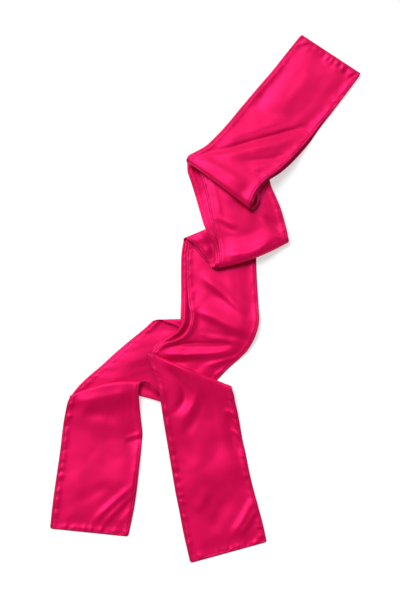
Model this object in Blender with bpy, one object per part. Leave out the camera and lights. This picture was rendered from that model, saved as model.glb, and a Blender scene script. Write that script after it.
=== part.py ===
"""A long narrow satin scarf, doubled near its middle and laid flat in loose accordion folds.

Each stretch between two creases is a thin wall lofted through sections that run across the strip.
The stretches are laid one on another from the surface upwards, so each rests on what lies under it,
and the rounded turn at a crease belongs to the stretch on top. Lengths are in millimetres until the
last step, which makes them metres.
"""

import math
from collections import namedtuple

import bmesh
import bpy
import numpy as np

# ---- driving dimensions, in millimetres ----
CLOTH = 1.0  # thickness of the wall that stands for the cloth
GAP = 0.45  # air between one stretch and the next
PITCH = CLOTH + GAP  # from one ply to the next in a stack
END_GAP = 0.55  # from the end of a turn to the stretch that it leads to
COLUMNS = 8  # spans across the strip
ROW_STEP = 12.0  # spacing of the sections along the strip
TURN_STEPS = 6  # facets round a turn
SETTLE = 6.0  # how softly a stretch comes down past an edge under it
CELL = 1.5  # spacing of the height map that the stretches are laid on

# The plan is drawn on a grid as it looks from above, a little towards the front.
VIEW_DISTANCE = 1333.3  # from the viewpoint to the middle of the plan
VIEW_TILT = math.radians(6.0)
GRID_FOCAL = 1000.0  # grid units for one unit of tangent
GRID_MIDDLE = (200.0, 300.0)
GRID_UNIT = VIEW_DISTANCE / GRID_FOCAL  # 1.333 mm on the ground, at the middle

SATIN = (0.62, 0.004, 0.085, 1.0)
SATIN_DEEP = (0.50, 0.003, 0.065, 1.0)

# ---- sections of each stretch, on the plan grid: left end, right end, and the bow at the middle ----
Section = namedtuple("Section", "xl yl xr yr bow_x bow_y", defaults=(0.0, 0.0))
# Where two plies lie together: the upper ply's section, and how far the lower one laps past it on each side.
Pair = namedtuple("Pair", "xl yl xr yr lap_l lap_r bow_x bow_y", defaults=(0.0, 0.0))

TAIL_TOP = (
    Pair(300.5, 35.5, 360.3, 74.8, 0.0, 0.0),
    Pair(286.8, 52.5, 346.8, 93.0, 0.0, 0.0),
    Pair(273.0, 70.0, 332.0, 112.0, 0.0, 0.3),
    Pair(257.5, 88.0, 319.0, 127.3, 0.0, 1.2),
    Pair(242.0, 106.3, 308.0, 141.0, -0.5, 2.4),
    Pair(228.0, 123.3, 297.3, 152.7, -0.5, 3.2),
    Pair(216.0, 136.3, 286.5, 163.8, -0.5, 3.4),
    Pair(205.0, 146.4, 275.5, 173.2, -0.5, 3.2),
    Pair(194.5, 152.6, 265.5, 180.4, -0.7, 2.4),
    Pair(188.5, 157.0, 257.8, 189.0, -0.8, 2.0),
    Pair(186.4, 161.3, 252.6, 198.6, -0.8, 1.8),
    Pair(187.0, 166.3, 251.6, 210.5, 0.0, 1.0),
)
TUCK_TOP = (
    Pair(187.0, 166.3, 250.6, 210.0, 0.0, 1.2),
    Pair(187.6, 165.2, 255.6, 206.5, 0.0, 1.8),
    Pair(188.2, 164.3, 257.9, 199.8, 0.0, 1.8),
    Pair(188.8, 163.5, 257.5, 193.0, 0.0, 1.8),
    Pair(189.4, 162.8, 260.3, 185.0, 0.0, 1.5),
    Pair(190.0, 162.2, 267.0, 177.5, 0.0, 1.0),
)
BEND = (
    Pair(197.0, 163.8, 269.0, 176.8, 8.0, -1.0),
    Pair(200.0, 173.0, 271.3, 186.0, 11.6, -2.0),
    Pair(203.4, 184.5, 275.6, 196.0, 12.0, -2.0),
    Pair(206.8, 199.0, 280.3, 207.0, 11.0, -2.5),
    Pair(209.7, 213.0, 283.6, 218.0, 9.6, -2.5),
    Pair(213.2, 226.8, 286.0, 227.0, 8.6, -2.5),
    Pair(217.2, 239.0, 287.6, 233.8, 6.6, -2.5),
    Pair(219.3, 250.0, 288.2, 237.8, 4.4, -2.5),
    Pair(219.4, 260.5, 288.4, 240.2, 4.2, -2.5),
    Pair(216.6, 268.6, 287.6, 242.3, 4.8, -2.5, 1.2, 3.0),
)
RETURN = (
    Pair(212.1, 270.3, 285.3, 243.2, -4.8, 2.5, 1.2, 3.0),
    Pair(206.8, 261.0, 279.0, 235.0, 0.8, 1.0),
    Pair(201.5, 255.4, 272.0, 226.0, 1.0, 1.0),
    Pair(196.0, 248.3, 266.0, 218.0, 1.0, 1.0),
    Pair(190.5, 242.2, 261.0, 211.0, 0.6, 0.5),
    Pair(184.3, 238.0, 258.0, 207.0, -1.8, 0.0),
)
RUN_UPPER = (
    Section(186.0, 237.3, 258.0, 207.0),
    Section(187.6, 246.0, 257.4, 226.0),
    Section(186.4, 256.0, 256.8, 245.0),
    Section(186.4, 266.0, 256.3, 262.0),
    Section(187.0, 280.0, 256.9, 279.0),
    Section(187.8, 295.0, 257.8, 295.0),
    Section(188.9, 306.5, 258.7, 309.0),
    Section(190.8, 317.0, 259.2, 321.0),
    Section(188.6, 326.5, 257.2, 331.0),
    Section(182.5, 335.5, 253.0, 341.5),
    Section(174.0, 340.0, 247.0, 351.0),
    Section(164.5, 342.2, 238.5, 359.5),
    Section(157.0, 347.0, 229.0, 368.0),
    Section(152.6, 351.0, 217.0, 380.5),
    Section(151.2, 353.0, 206.0, 393.0),
    Section(150.8, 354.3, 194.5, 407.0),
)
RUN_LOWER = (
    Section(184.3, 238.0, 258.0, 207.0),
    Section(182.2, 248.0, 256.4, 226.0),
    Section(181.2, 258.0, 255.4, 246.0),
    Section(181.0, 272.0, 254.8, 263.0),
    Section(181.1, 290.0, 255.6, 282.0),
    Section(180.9, 305.0, 257.0, 301.0),
    Section(180.5, 316.5, 257.8, 318.0),
    Section(180.3, 325.5, 256.4, 328.0),
    Section(176.0, 331.5, 255.0, 333.5),
    Section(170.0, 335.5, 253.8, 336.8),
    Section(164.3, 338.8, 252.8, 339.4),
    Section(159.6, 341.2, 252.2, 341.2),
    Section(154.5, 346.0, 251.6, 342.8),
    Section(150.8, 352.5, 251.0, 344.3),
)
TUCK_RIGHT = (
    Section(150.8, 354.3, 194.5, 407.0),
    Section(149.8, 353.6, 206.0, 402.0),
    Section(148.8, 353.0, 218.5, 395.0),
    Section(147.8, 352.5, 231.0, 386.0),
)
TAIL_RIGHT = (
    Section(147.5, 352.3, 231.0, 386.0),
    Section(148.5, 360.0, 233.6, 393.0),
    Section(152.4, 370.6, 235.2, 402.0),
    Section(156.2, 381.0, 237.2, 410.0),
    Section(159.2, 394.0, 238.8, 418.0),
    Section(161.5, 408.0, 240.5, 428.0),
    Section(164.0, 424.0, 242.8, 440.5),
    Section(167.3, 443.5, 245.8, 453.5),
    Section(171.0, 466.0, 249.0, 470.0),
    Section(175.0, 490.0, 253.0, 487.0),
    Section(179.2, 511.0, 258.0, 505.5),
    Section(183.2, 532.0, 262.6, 522.5),
    Section(190.0, 562.0, 266.5, 541.0),
)
TUCK_LEFT = (
    Section(150.8, 352.5, 251.0, 344.3),
    Section(166.0, 344.0, 252.0, 341.0),
    Section(177.0, 335.5, 253.3, 337.5),
    Section(178.5, 330.0, 254.5, 334.5),
    Section(170.0, 326.3, 255.8, 331.8),
    Section(160.5, 323.4, 257.0, 329.3),
    Section(153.0, 321.8, 258.0, 327.5, 0.0, -4.0),
)
CROSS_LEFT = (
    Section(153.0, 321.8, 258.0, 327.5, 0.0, -4.0),
    Section(145.5, 327.7, 246.0, 338.0),
    Section(130.0, 340.3, 228.0, 354.0),
    Section(115.5, 352.7, 211.0, 369.0),
    Section(101.0, 366.0, 195.0, 382.0),
    Section(88.5, 376.5, 182.0, 392.0),
    Section(77.5, 387.3, 172.0, 399.5),
    Section(70.0, 397.0, 166.0, 403.8, 0.0, -7.5),
)
WEDGE_LEFT = (
    Section(70.0, 397.0, 166.0, 403.8, 0.0, -7.5),
    Section(70.1, 396.9, 160.8, 398.0, 0.0, -6.5),
    Section(70.2, 396.8, 157.3, 391.5, 0.0, -6.0),
    Section(70.3, 396.7, 151.0, 385.0, 0.0, -5.5),
    Section(70.5, 396.5, 145.0, 381.0, 0.0, -5.0),
    Section(70.6, 396.3, 140.0, 381.3, 0.0, -5.0),
)
TAIL_LEFT = (
    Section(70.6, 396.3, 140.0, 381.3, 0.0, -5.0),
    Section(68.0, 401.0, 139.0, 390.0),
    Section(65.6, 411.0, 139.6, 404.0),
    Section(63.6, 422.0, 141.0, 419.0),
    Section(62.0, 434.0, 142.6, 434.0),
    Section(60.7, 446.0, 141.7, 445.0),
    Section(58.8, 460.0, 140.2, 460.0),
    Section(56.6, 475.0, 138.4, 476.0),
    Section(54.4, 490.0, 136.6, 492.0),
    Section(52.3, 506.0, 134.0, 509.0),
    Section(50.0, 527.3, 128.5, 535.3),
)

# ---- creases: inner radius of the turn and the inner ply's set-back at each end, and the loft's reach ----
Crease = namedtuple("Crease", "radius_l radius_r tip_l tip_r reach_l reach_r")
CREASES = {
    "doubled_end": Crease(0.8, 0.8, 0.0, 0.0, 8.0, 8.0),
    "first": Crease(3.2, 4.8, 1.6, 1.6, 20.0, 30.0),
    "first_hidden": Crease(0.8, 0.8, 1.6, 1.6, 6.0, 6.0),
    "second": Crease(4.0, 2.2, 5.0, 2.0, 26.0, 18.0),
    "third": Crease(2.2, 1.4, 1.6, 1.6, 16.0, 14.0),
    "right_hidden": Crease(0.8, 0.8, 0.0, 0.0, 8.0, 8.0),
    "right_top": Crease(2.6, 3.0, 0.0, 0.0, 22.0, 24.0),
    "left_hidden": Crease(0.8, 0.8, 0.0, 0.0, 8.0, 8.0),
    "left_crest": Crease(3.0, 2.0, 0.0, 0.0, 20.0, 18.0),
    "wedge_low": Crease(1.4, 1.4, 0.0, 0.0, 12.0, 12.0),
    "wedge_top": Crease(3.2, 3.2, 0.0, 0.0, 24.0, 24.0),
}

# ---- the largest soft folds: a ridge from one grid point to another, its height and half-width in mm ----
Ridge = namedtuple("Ridge", "stretch x1 y1 x2 y2 height half_width")
RIDGES = (
    Ridge("tail_top_upper", 292.0, 72.0, 252.0, 126.0, 2.6, 17.0),
    Ridge("tail_top_upper", 300.0, 134.0, 222.0, 151.0, 2.2, 10.0),
    Ridge("run_upper", 214.0, 276.0, 246.0, 313.0, 3.0, 12.0),
    Ridge("run_upper", 168.0, 350.5, 238.0, 351.0, 2.6, 9.0),
    Ridge("tail_right", 186.0, 382.0, 176.0, 412.0, 2.6, 10.0),
    Ridge("tail_left", 96.0, 440.0, 94.0, 462.0, 1.8, 18.0),
)


# ---- plan geometry ----
def from_plan(x, y, z):
    """Millimetres on the ground frame for a point seen at grid place (x, y) and standing z high."""
    a = (x - GRID_MIDDLE[0]) / GRID_FOCAL
    b = (GRID_MIDDLE[1] - y) / GRID_FOCAL
    sin_t, cos_t = math.sin(VIEW_TILT), math.cos(VIEW_TILT)
    down = cos_t - b * sin_t
    reach = (VIEW_DISTANCE * cos_t - z) / down
    return reach * a, -VIEW_DISTANCE * sin_t + reach * (sin_t + b * cos_t)


def upper_ply(pairs):
    return tuple(Section(p.xl, p.yl, p.xr, p.yr, p.bow_x, p.bow_y) for p in pairs)


def lower_ply(pairs):
    rows = []
    for p in pairs:
        dx, dy = p.xr - p.xl, p.yr - p.yl
        size = math.hypot(dx, dy)
        dx, dy = dx / size, dy / size
        rows.append(
            Section(
                p.xl - dx * p.lap_l,
                p.yl - dy * p.lap_l,
                p.xr + dx * p.lap_r,
                p.yr + dy * p.lap_r,
                p.bow_x,
                p.bow_y,
            )
        )
    return tuple(rows)


def curve_rows(rows, count):
    """The section table read at count even steps along the stretch, on smooth curves through its rows."""
    table = np.array(rows, float)
    left, right = table[:, 0:2], table[:, 2:4]
    step = np.sqrt(
        0.5 * (np.diff(left, axis=0) ** 2).sum(1)
        + 0.5 * (np.diff(right, axis=0) ** 2).sum(1)
    )
    knots = np.concatenate([[0.0], np.cumsum(step)])
    secant = np.diff(table, axis=0) / step[:, None]
    slope = np.empty_like(table)
    slope[0], slope[-1] = secant[0], secant[-1]
    before, after = step[:-1, None], step[1:, None]
    slope[1:-1] = (secant[:-1] * after + secant[1:] * before) / (before + after)
    where = np.linspace(0.0, knots[-1], count)
    at = np.clip(np.searchsorted(knots, where, side="right") - 1, 0, len(step) - 1)
    h = step[at][:, None]
    f = ((where - knots[at]) / step[at])[:, None]
    return (
        table[at] * (2 * f**3 - 3 * f**2 + 1)
        + slope[at] * h * (f**3 - 2 * f**2 + f)
        + table[at + 1] * (3 * f**2 - 2 * f**3)
        + slope[at + 1] * h * (f**3 - f**2)
    )


def across(dense, t):
    """Grid points of every dense row at the fractions t across it."""
    t = np.asarray(t, float)[None, :]
    bow = 4 * t * (1 - t)
    x = dense[:, 0:1] * (1 - t) + dense[:, 2:3] * t + dense[:, 4:5] * bow
    y = dense[:, 1:2] * (1 - t) + dense[:, 3:4] * t + dense[:, 5:6] * bow
    return x, y


def crease_frame(row, t, inside):
    """Points of a crease at the fractions t, and the unit normals on the plan that point away from the cloth."""
    t = np.asarray(t, float)
    x, y = across(row[None, :], t)
    tx = row[2] - row[0] + row[4] * 4 * (1 - 2 * t)
    ty = row[3] - row[1] + row[5] * 4 * (1 - 2 * t)
    size = np.hypot(tx, ty)
    nx, ny = ty / size, -tx / size
    middle = len(t) // 2
    if (inside[0] - x[0][middle]) * nx[middle] + (inside[1] - y[0][middle]) * ny[middle] > 0:
        nx, ny = -nx, -ny
    return x[0], y[0], nx, ny


class Stretch:
    """One stretch of one ply between two creases, as a grid of points across and along the strip."""

    def __init__(self, name, rows, start, end):
        # start and end are (crease name, True for the inner ply of a pair), or None at a free end
        self.name = name
        self.t = np.linspace(0.0, 1.0, COLUMNS + 1)
        dense = curve_rows(rows, 240)
        gx, gy = across(dense, self.t)
        middle = (gx[120, COLUMNS // 2], gy[120, COLUMNS // 2])
        self.ends = {}
        span = np.linspace(0.0, 1.0, 240)
        low, high = np.zeros(COLUMNS + 1), np.ones(COLUMNS + 1)
        for which, crease, row in (("start", start, dense[0]), ("end", end, dense[-1])):
            if crease is None:
                continue
            size = CREASES[crease[0]]
            radius = size.radius_l + (size.radius_r - size.radius_l) * self.t
            tip = size.tip_l + (size.tip_r - size.tip_l) * self.t
            reach = size.reach_l + (size.reach_r - size.reach_l) * self.t
            cx, cy, nx, ny = crease_frame(row, self.t, middle)
            away = -((gx - cx) * nx + (gy - cy) * ny) * GRID_UNIT
            if which == "end":
                away = away[::-1]
            away = np.maximum.accumulate(np.maximum(away, 0.0), axis=0)
            offset = np.minimum(radius + tip, 0.4 * away[-1])
            for j in range(COLUMNS + 1):
                cut = np.interp(offset[j], away[:, j] + span * 1e-6, span)
                if which == "start":
                    low[j] = cut
                else:
                    high[j] = 1.0 - cut
            bulge = np.maximum(offset - tip, 0.75) if crease[1] else offset
            self.ends[which] = dict(
                cx=cx, cy=cy, nx=nx, ny=ny, radius=radius, reach=reach, bulge=np.maximum(bulge, 0.75)
            )
        length = np.hypot(np.diff(gx[:, COLUMNS // 2]), np.diff(gy[:, COLUMNS // 2])).sum()
        count = max(3, int(round(length * GRID_UNIT / ROW_STEP)) + 1)
        share = np.linspace(0.0, 1.0, count)[:, None]
        at = low[None, :] + (high - low)[None, :] * share
        self.x = np.empty_like(at)
        self.y = np.empty_like(at)
        for j in range(COLUMNS + 1):
            self.x[:, j] = np.interp(at[:, j], span, gx[:, j])
            self.y[:, j] = np.interp(at[:, j], span, gy[:, j])
        self.extra = np.zeros_like(self.x)
        self.z = None

    def loft(self, which):
        """Raises the stretch where it comes off the turn at one of its creases, and eases it down past it."""
        end = self.ends[which]
        away = -((self.x - end["cx"]) * end["nx"] + (self.y - end["cy"]) * end["ny"]) * GRID_UNIT
        share = np.clip(away / end["reach"], 0.0, 1.0)
        self.extra += 2 * (end["radius"] - 0.75) * 0.5 * (1 + np.cos(math.pi * share))

    def ridges(self):
        for ridge in RIDGES:
            if ridge.stretch != self.name:
                continue
            dx, dy = ridge.x2 - ridge.x1, ridge.y2 - ridge.y1
            size = math.hypot(dx, dy)
            along = ((self.x - ridge.x1) * dx + (self.y - ridge.y1) * dy) / size**2
            aside = ((self.x - ridge.x1) * dy - (self.y - ridge.y1) * dx) / size * GRID_UNIT
            past = np.clip(np.abs(along - 0.5) - 0.5, 0.0, None) * size * GRID_UNIT
            far = np.hypot(aside, past) / ridge.half_width
            self.extra += ridge.height * np.where(far < 1, 0.5 * (1 + np.cos(math.pi * np.minimum(far, 1))), 0.0)


class Ground:
    """A height map of what has been laid so far, with the air gap on top."""

    def __init__(self):
        self.x0, self.y0 = -260.0, -420.0
        self.shape = (int(840 / CELL), int(540 / CELL))
        self.height = np.zeros(self.shape)
        self.soft = np.zeros(self.shape)

    def cell(self, x, y):
        return (y - self.y0) / CELL, (x - self.x0) / CELL

    def read(self, field, x, y):
        row, column = self.cell(x, y)
        r0 = np.clip(np.floor(row).astype(int), 0, self.shape[0] - 2)
        c0 = np.clip(np.floor(column).astype(int), 0, self.shape[1] - 2)
        fr, fc = np.clip(row - r0, 0, 1), np.clip(column - c0, 0, 1)
        return (
            field[r0, c0] * (1 - fr) * (1 - fc)
            + field[r0, c0 + 1] * (1 - fr) * fc
            + field[r0 + 1, c0] * fr * (1 - fc)
            + field[r0 + 1, c0 + 1] * fr * fc
        )

    def add(self, points, faces):
        """Adds the upper side of some triangles."""
        steps = 8
        weights = [
            (a / steps, b / steps, 1 - (a + b) / steps)
            for a in range(steps + 1)
            for b in range(steps + 1 - a)
        ]
        corners = points[faces]
        for wa, wb, wc in weights:
            p = corners[:, 0] * wa + corners[:, 1] * wb + corners[:, 2] * wc
            row, column = self.cell(p[:, 0], p[:, 1])
            for dr in (0, 1):
                for dc in (0, 1):
                    r = np.clip(np.floor(row).astype(int) + dr, 0, self.shape[0] - 1)
                    c = np.clip(np.floor(column).astype(int) + dc, 0, self.shape[1] - 1)
                    np.maximum.at(self.height, (r, c), p[:, 2] + GAP)

    def soften(self):
        """The map spread and then averaged over the same reach, so it never falls below what it covers."""
        cells = int(round(SETTLE / CELL))
        spread = self.height
        for axis in (0, 1):
            spread = np.max([np.roll(spread, k, axis) for k in range(-cells, cells + 1)], axis=0)
        part = max(1, cells // 2)
        for _ in range(2):
            for axis in (0, 1):
                spread = np.mean([np.roll(spread, k, axis) for k in range(-part, part + 1)], axis=0)
        self.soft = spread


def grid_faces(rows, columns):
    """Triangles of a grid of points, numbered row by row, facing up where rows run away and columns to the right."""
    faces = []
    for i in range(rows - 1):
        for j in range(columns - 1):
            a, b = i * columns + j, i * columns + j + 1
            c, d = a + columns, b + columns
            faces += [(a, b, d), (a, d, c)]
    return np.array(faces)


def lay(stretch, ground):
    """Lays a stretch on the map: its height everywhere, and then the facets lifted clear of what they pass over."""
    ground.soften()
    z = np.full_like(stretch.x, CLOTH / 2)
    for _ in range(3):
        x, y = from_plan(stretch.x, stretch.y, z)
        z = ground.read(ground.soft, x, y) + CLOTH / 2 + stretch.extra
    x, y = from_plan(stretch.x, stretch.y, z)
    faces = grid_faces(*z.shape)
    flat = z.ravel()
    px, py = x.ravel(), y.ravel()
    steps = 7
    weights = np.array(
        [(a / steps, b / steps, 1 - (a + b) / steps) for a in range(steps + 1) for b in range(steps + 1 - a)]
    )
    sx = px[faces] @ weights.T
    sy = py[faces] @ weights.T
    floor = ground.read(ground.height, sx, sy) + CLOTH / 2
    share = weights / (weights**2).sum(1)[:, None]
    for _ in range(60):
        short = np.maximum(floor - flat[faces] @ weights.T, 0.0)
        if short.max() < 0.01:
            break
        lift = np.zeros_like(flat)
        for k in range(3):
            np.maximum.at(lift, faces[:, k], (short * share[:, k][None, :]).max(1))
        flat = flat + lift
    stretch.z = flat.reshape(z.shape)
    stretch.px, stretch.py = x, y
    top = np.stack([px, py, flat + CLOTH / 2], axis=1)
    ground.add(top, faces)


def turn(upper, which, lower, which_lower, ground):
    """The rounded turn from the upper stretch down to the lower one, as rows of points with their outward normals."""
    i, k = (0 if which == "start" else -1), (0 if which_lower == "start" else -1)
    end = upper.ends[which]
    high = np.stack([upper.px[i], upper.py[i], upper.z[i]], axis=1)
    low = np.stack([lower.px[k], lower.py[k], lower.z[k]], axis=1)
    # the outward direction on the ground, square to the row of points there
    along = np.gradient(0.5 * (high + low)[:, :2], axis=0)
    normal = np.stack([along[:, 1], -along[:, 0]], axis=1)
    normal /= np.linalg.norm(normal, axis=1)[:, None]
    out = np.stack([end["nx"], -end["ny"]], axis=1)
    normal *= np.sign((normal * out).sum(1))[:, None]
    bulge = end["bulge"]
    rise = np.maximum((high[:, 2] - low[:, 2]) / 2, 0.72)
    stop = math.pi - np.minimum(END_GAP / bulge, 0.9)
    rows, sides = [], []
    for step in range(1, TURN_STEPS + 1):
        angle = stop * step / TURN_STEPS
        cos, sin = np.cos(angle), np.sin(angle)
        point = (high + low) / 2 + (high - low) / 2 * cos[:, None]
        point[:, :2] += normal * (bulge * sin)[:, None]
        side = np.stack([normal[:, 0] * rise * sin, normal[:, 1] * rise * sin, bulge * cos], axis=1)
        rows.append(point)
        sides.append(side / np.linalg.norm(side, axis=1)[:, None])
    rows, sides = np.array(rows), np.array(sides)
    both = np.concatenate([high[None], rows])
    lifted = np.concatenate([high[None] + [0, 0, CLOTH / 2], rows + sides * CLOTH / 2])
    ground.add(lifted.reshape(-1, 3), grid_faces(*both.shape[:2]))
    return rows, sides


def wall(stretch, before=None, after=None):
    """(outer, inner) grids of the wall, with the turns before and after it where it has them."""
    mid = np.stack([stretch.px, stretch.py, stretch.z], axis=2)
    side = np.zeros_like(mid)
    side[:, :, 2] = 1.0
    if before is not None:
        mid = np.concatenate([before[0][::-1], mid])
        side = np.concatenate([before[1][::-1], side])
    if after is not None:
        mid = np.concatenate([mid, after[0]])
        side = np.concatenate([side, after[1]])
    outer, inner = mid + side * CLOTH / 2, mid - side * CLOTH / 2
    for grid in (outer, inner):
        grid[:, :, 2] = np.where(grid[:, :, 2] < 0.06, 0.0, grid[:, :, 2])
    return outer, inner


def slab(top, bottom):
    """(outer, inner) grids of a solid layer from one stretch's underside to another's top, with a rounded far end."""
    upper = np.stack([top.px, top.py, top.z + CLOTH / 2], axis=2)
    lower = np.stack([bottom.px, bottom.py, bottom.z - CLOTH / 2], axis=2)
    reach = (upper[-1] + lower[-1]) / 2 - (upper[-2] + lower[-2]) / 2
    reach /= np.maximum(np.linalg.norm(reach, axis=1), 1e-6)[:, None]
    half, middle = (upper[-1] - lower[-1]) / 2, (upper[-1] + lower[-1]) / 2
    size = np.minimum(np.linalg.norm(half, axis=1), 1.4)[:, None]
    more_u, more_l = [], []
    for angle in (math.radians(35), math.radians(65)):
        centre = middle + reach * size * math.sin(angle)
        more_u.append(centre + half * math.cos(angle))
        more_l.append(centre - half * math.cos(angle))
    return np.concatenate([upper, more_u]), np.concatenate([lower, more_l])


def solid(name, outer, inner, colour, roughness=0.34):
    """One closed mesh from the outer and inner grids, joined round the rim."""
    rows, columns = outer.shape[:2]
    points = np.concatenate([outer.reshape(-1, 3), inner.reshape(-1, 3)]) + SHIFT
    lift = rows * columns
    faces = [tuple(f) for f in grid_faces(rows, columns)]
    faces += [(f[0] + lift, f[2] + lift, f[1] + lift) for f in grid_faces(rows, columns)]
    rim = [j for j in range(columns)]
    rim += [i * columns + columns - 1 for i in range(1, rows)]
    rim += [(rows - 1) * columns + j for j in range(columns - 2, -1, -1)]
    rim += [i * columns for i in range(rows - 2, 0, -1)]
    for a, b in zip(rim, rim[1:] + rim[:1]):
        faces += [(b, a, a + lift), (b, a + lift, b + lift)]
    mesh = bpy.data.meshes.new(name)
    shape = bmesh.new()
    vertices = [shape.verts.new(tuple(p * 0.001)) for p in points]
    for face in faces:
        shape.faces.new([vertices[k] for k in face])
    shape.normal_update()
    if shape.calc_volume(signed=True) < 0:
        bmesh.ops.reverse_faces(shape, faces=shape.faces)
    shape.to_mesh(mesh)
    shape.free()
    mesh.shade_smooth()
    mesh.set_sharp_from_angle(angle=math.radians(40))
    material = bpy.data.materials.new(name)
    material.use_nodes = True
    shader = material.node_tree.nodes["Principled BSDF"]
    shader.inputs["Base Color"].default_value = colour
    shader.inputs["Roughness"].default_value = roughness
    shader.inputs["Metallic"].default_value = 0.0
    mesh.materials.append(material)
    thing = bpy.data.objects.new(name, mesh)
    bpy.context.collection.objects.link(thing)
    return thing


for thing in list(bpy.data.objects):
    bpy.data.objects.remove(thing, do_unlink=True)

# ---- the strip, from the surface upwards ----
cross_left = Stretch("cross_left", CROSS_LEFT, ("left_crest", False), ("wedge_low", False))
wedge_left = Stretch("wedge_left", WEDGE_LEFT, ("wedge_low", False), ("wedge_top", False))
tail_left = Stretch("tail_left", TAIL_LEFT, ("wedge_top", False), None)
tuck_left = Stretch("tuck_left", TUCK_LEFT, ("left_hidden", False), ("left_crest", False))
run_lower = Stretch("run_lower", RUN_LOWER, ("third", False), ("left_hidden", False))
run_upper = Stretch("run_upper", RUN_UPPER, ("third", True), ("right_hidden", False))
tuck_right = Stretch("tuck_right", TUCK_RIGHT, ("right_hidden", False), ("right_top", False))
tail_right = Stretch("tail_right", TAIL_RIGHT, ("right_top", False), None)
return_lower = Stretch("return_lower", lower_ply(RETURN), ("second", False), ("third", True))
return_upper = Stretch("return_upper", upper_ply(RETURN), ("second", True), ("third", False))
bend_lower = Stretch("bend_lower", lower_ply(BEND), ("first_hidden", False), ("second", True))
bend_upper = Stretch("bend_upper", upper_ply(BEND), ("first_hidden", True), ("second", False))
tuck_lower = Stretch("tuck_lower", lower_ply(TUCK_TOP), ("first", False), ("first_hidden", True))
tuck_upper = Stretch("tuck_upper", upper_ply(TUCK_TOP), ("first", True), ("first_hidden", False))
tail_top_lower = Stretch("tail_top_lower", lower_ply(TAIL_TOP), ("doubled_end", False), ("first", True))
tail_top_upper = Stretch("tail_top_upper", upper_ply(TAIL_TOP), ("doubled_end", False), ("first", False))

ground = Ground()
turns = {}

lay(cross_left, ground)
wedge_left.loft("start")
lay(wedge_left, ground)
turns["wedge_low"] = turn(wedge_left, "start", cross_left, "end", ground)
tail_left.loft("start")
tail_left.ridges()
lay(tail_left, ground)
turns["wedge_top"] = turn(tail_left, "start", wedge_left, "end", ground)
tuck_left.loft("end")
lay(tuck_left, ground)
turns["left_crest"] = turn(tuck_left, "end", cross_left, "start", ground)
lay(run_lower, ground)
turns["left_hidden"] = turn(run_lower, "end", tuck_left, "start", ground)
run_upper.ridges()
lay(run_upper, ground)
lay(tuck_right, ground)
turns["right_hidden"] = turn(tuck_right, "start", run_upper, "end", ground)
tail_right.loft("start")
tail_right.ridges()
lay(tail_right, ground)
turns["right_top"] = turn(tail_right, "start", tuck_right, "end", ground)
return_lower.loft("end")
lay(return_lower, ground)
turns["third_inner"] = turn(return_lower, "end", run_upper, "start", ground)
lay(return_upper, ground)
turns["third_outer"] = turn(return_upper, "end", run_lower, "start", ground)
bend_lower.loft("end")
lay(bend_lower, ground)
turns["second_inner"] = turn(bend_lower, "end", return_upper, "start", ground)
lay(bend_upper, ground)
turns["second_outer"] = turn(bend_upper, "end", return_lower, "start", ground)
lay(tuck_lower, ground)
lay(tuck_upper, ground)
tail_top_lower.loft("end")
lay(tail_top_lower, ground)
turns["first_inner"] = turn(tail_top_lower, "end", tuck_upper, "start", ground)
tail_top_upper.ridges()
lay(tail_top_upper, ground)
turns["first_outer"] = turn(tail_top_upper, "end", tuck_lower, "start", ground)
turns["doubled_end"] = turn(tail_top_upper, "start", tail_top_lower, "start", ground)

walls = {
    "cross_left": wall(cross_left),
    "wedge_left": wall(wedge_left, before=turns["wedge_low"]),
    "tail_left": wall(tail_left, before=turns["wedge_top"]),
    "tuck_left": wall(tuck_left, after=turns["left_crest"]),
    "run_lower": wall(run_lower, after=turns["left_hidden"]),
    "run_upper": wall(run_upper),
    "tuck_right": wall(tuck_right, before=turns["right_hidden"]),
    "tail_right": wall(tail_right, before=turns["right_top"]),
    "return_lower": wall(return_lower, after=turns["third_inner"]),
    "return_upper": wall(return_upper, after=turns["third_outer"]),
    "bend_lower": wall(bend_lower, after=turns["second_inner"]),
    "bend_upper": wall(bend_upper, after=turns["second_outer"]),
    "tuck_top": slab(tuck_upper, tuck_lower),
    "tail_top_lower": wall(tail_top_lower, after=turns["first_inner"]),
    "tail_top_upper": wall(tail_top_upper, before=turns["doubled_end"], after=turns["first_outer"]),
}

# the origin goes under the middle of the whole
every = np.concatenate([grid.reshape(-1, 3) for pair in walls.values() for grid in pair])
low, high = every.min(0), every.max(0)
SHIFT = -np.array([(low[0] + high[0]) / 2, (low[1] + high[1]) / 2, low[2]])

for name, (outer, inner) in walls.items():
    solid(name, outer, inner, SATIN_DEEP if name.endswith("lower") or name.startswith("tuck") else SATIN)
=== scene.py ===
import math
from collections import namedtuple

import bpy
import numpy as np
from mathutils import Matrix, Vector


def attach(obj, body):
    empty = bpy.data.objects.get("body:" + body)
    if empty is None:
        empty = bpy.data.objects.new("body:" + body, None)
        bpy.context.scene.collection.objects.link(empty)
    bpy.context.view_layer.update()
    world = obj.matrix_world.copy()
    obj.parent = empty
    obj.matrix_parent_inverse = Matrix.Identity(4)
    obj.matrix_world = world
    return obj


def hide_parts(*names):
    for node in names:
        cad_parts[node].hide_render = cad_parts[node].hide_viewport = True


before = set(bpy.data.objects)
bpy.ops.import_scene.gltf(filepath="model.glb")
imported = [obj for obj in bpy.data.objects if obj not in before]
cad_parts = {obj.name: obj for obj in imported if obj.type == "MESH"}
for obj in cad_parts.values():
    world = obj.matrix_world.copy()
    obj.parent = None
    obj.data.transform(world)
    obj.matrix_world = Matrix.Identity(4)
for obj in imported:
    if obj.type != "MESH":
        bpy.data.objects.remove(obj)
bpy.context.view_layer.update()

# A long narrow satin scarf, doubled near its middle and laid flat in loose accordion folds.
# The cloth is one thin shell for each half of the strip. Each stretch between two creases is laid on
# what lies under it, from the surface upwards, and then gets its own soft ridges and troughs, hem and
# puckers. Lengths are in millimetres until the meshes are made, in metres.

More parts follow.
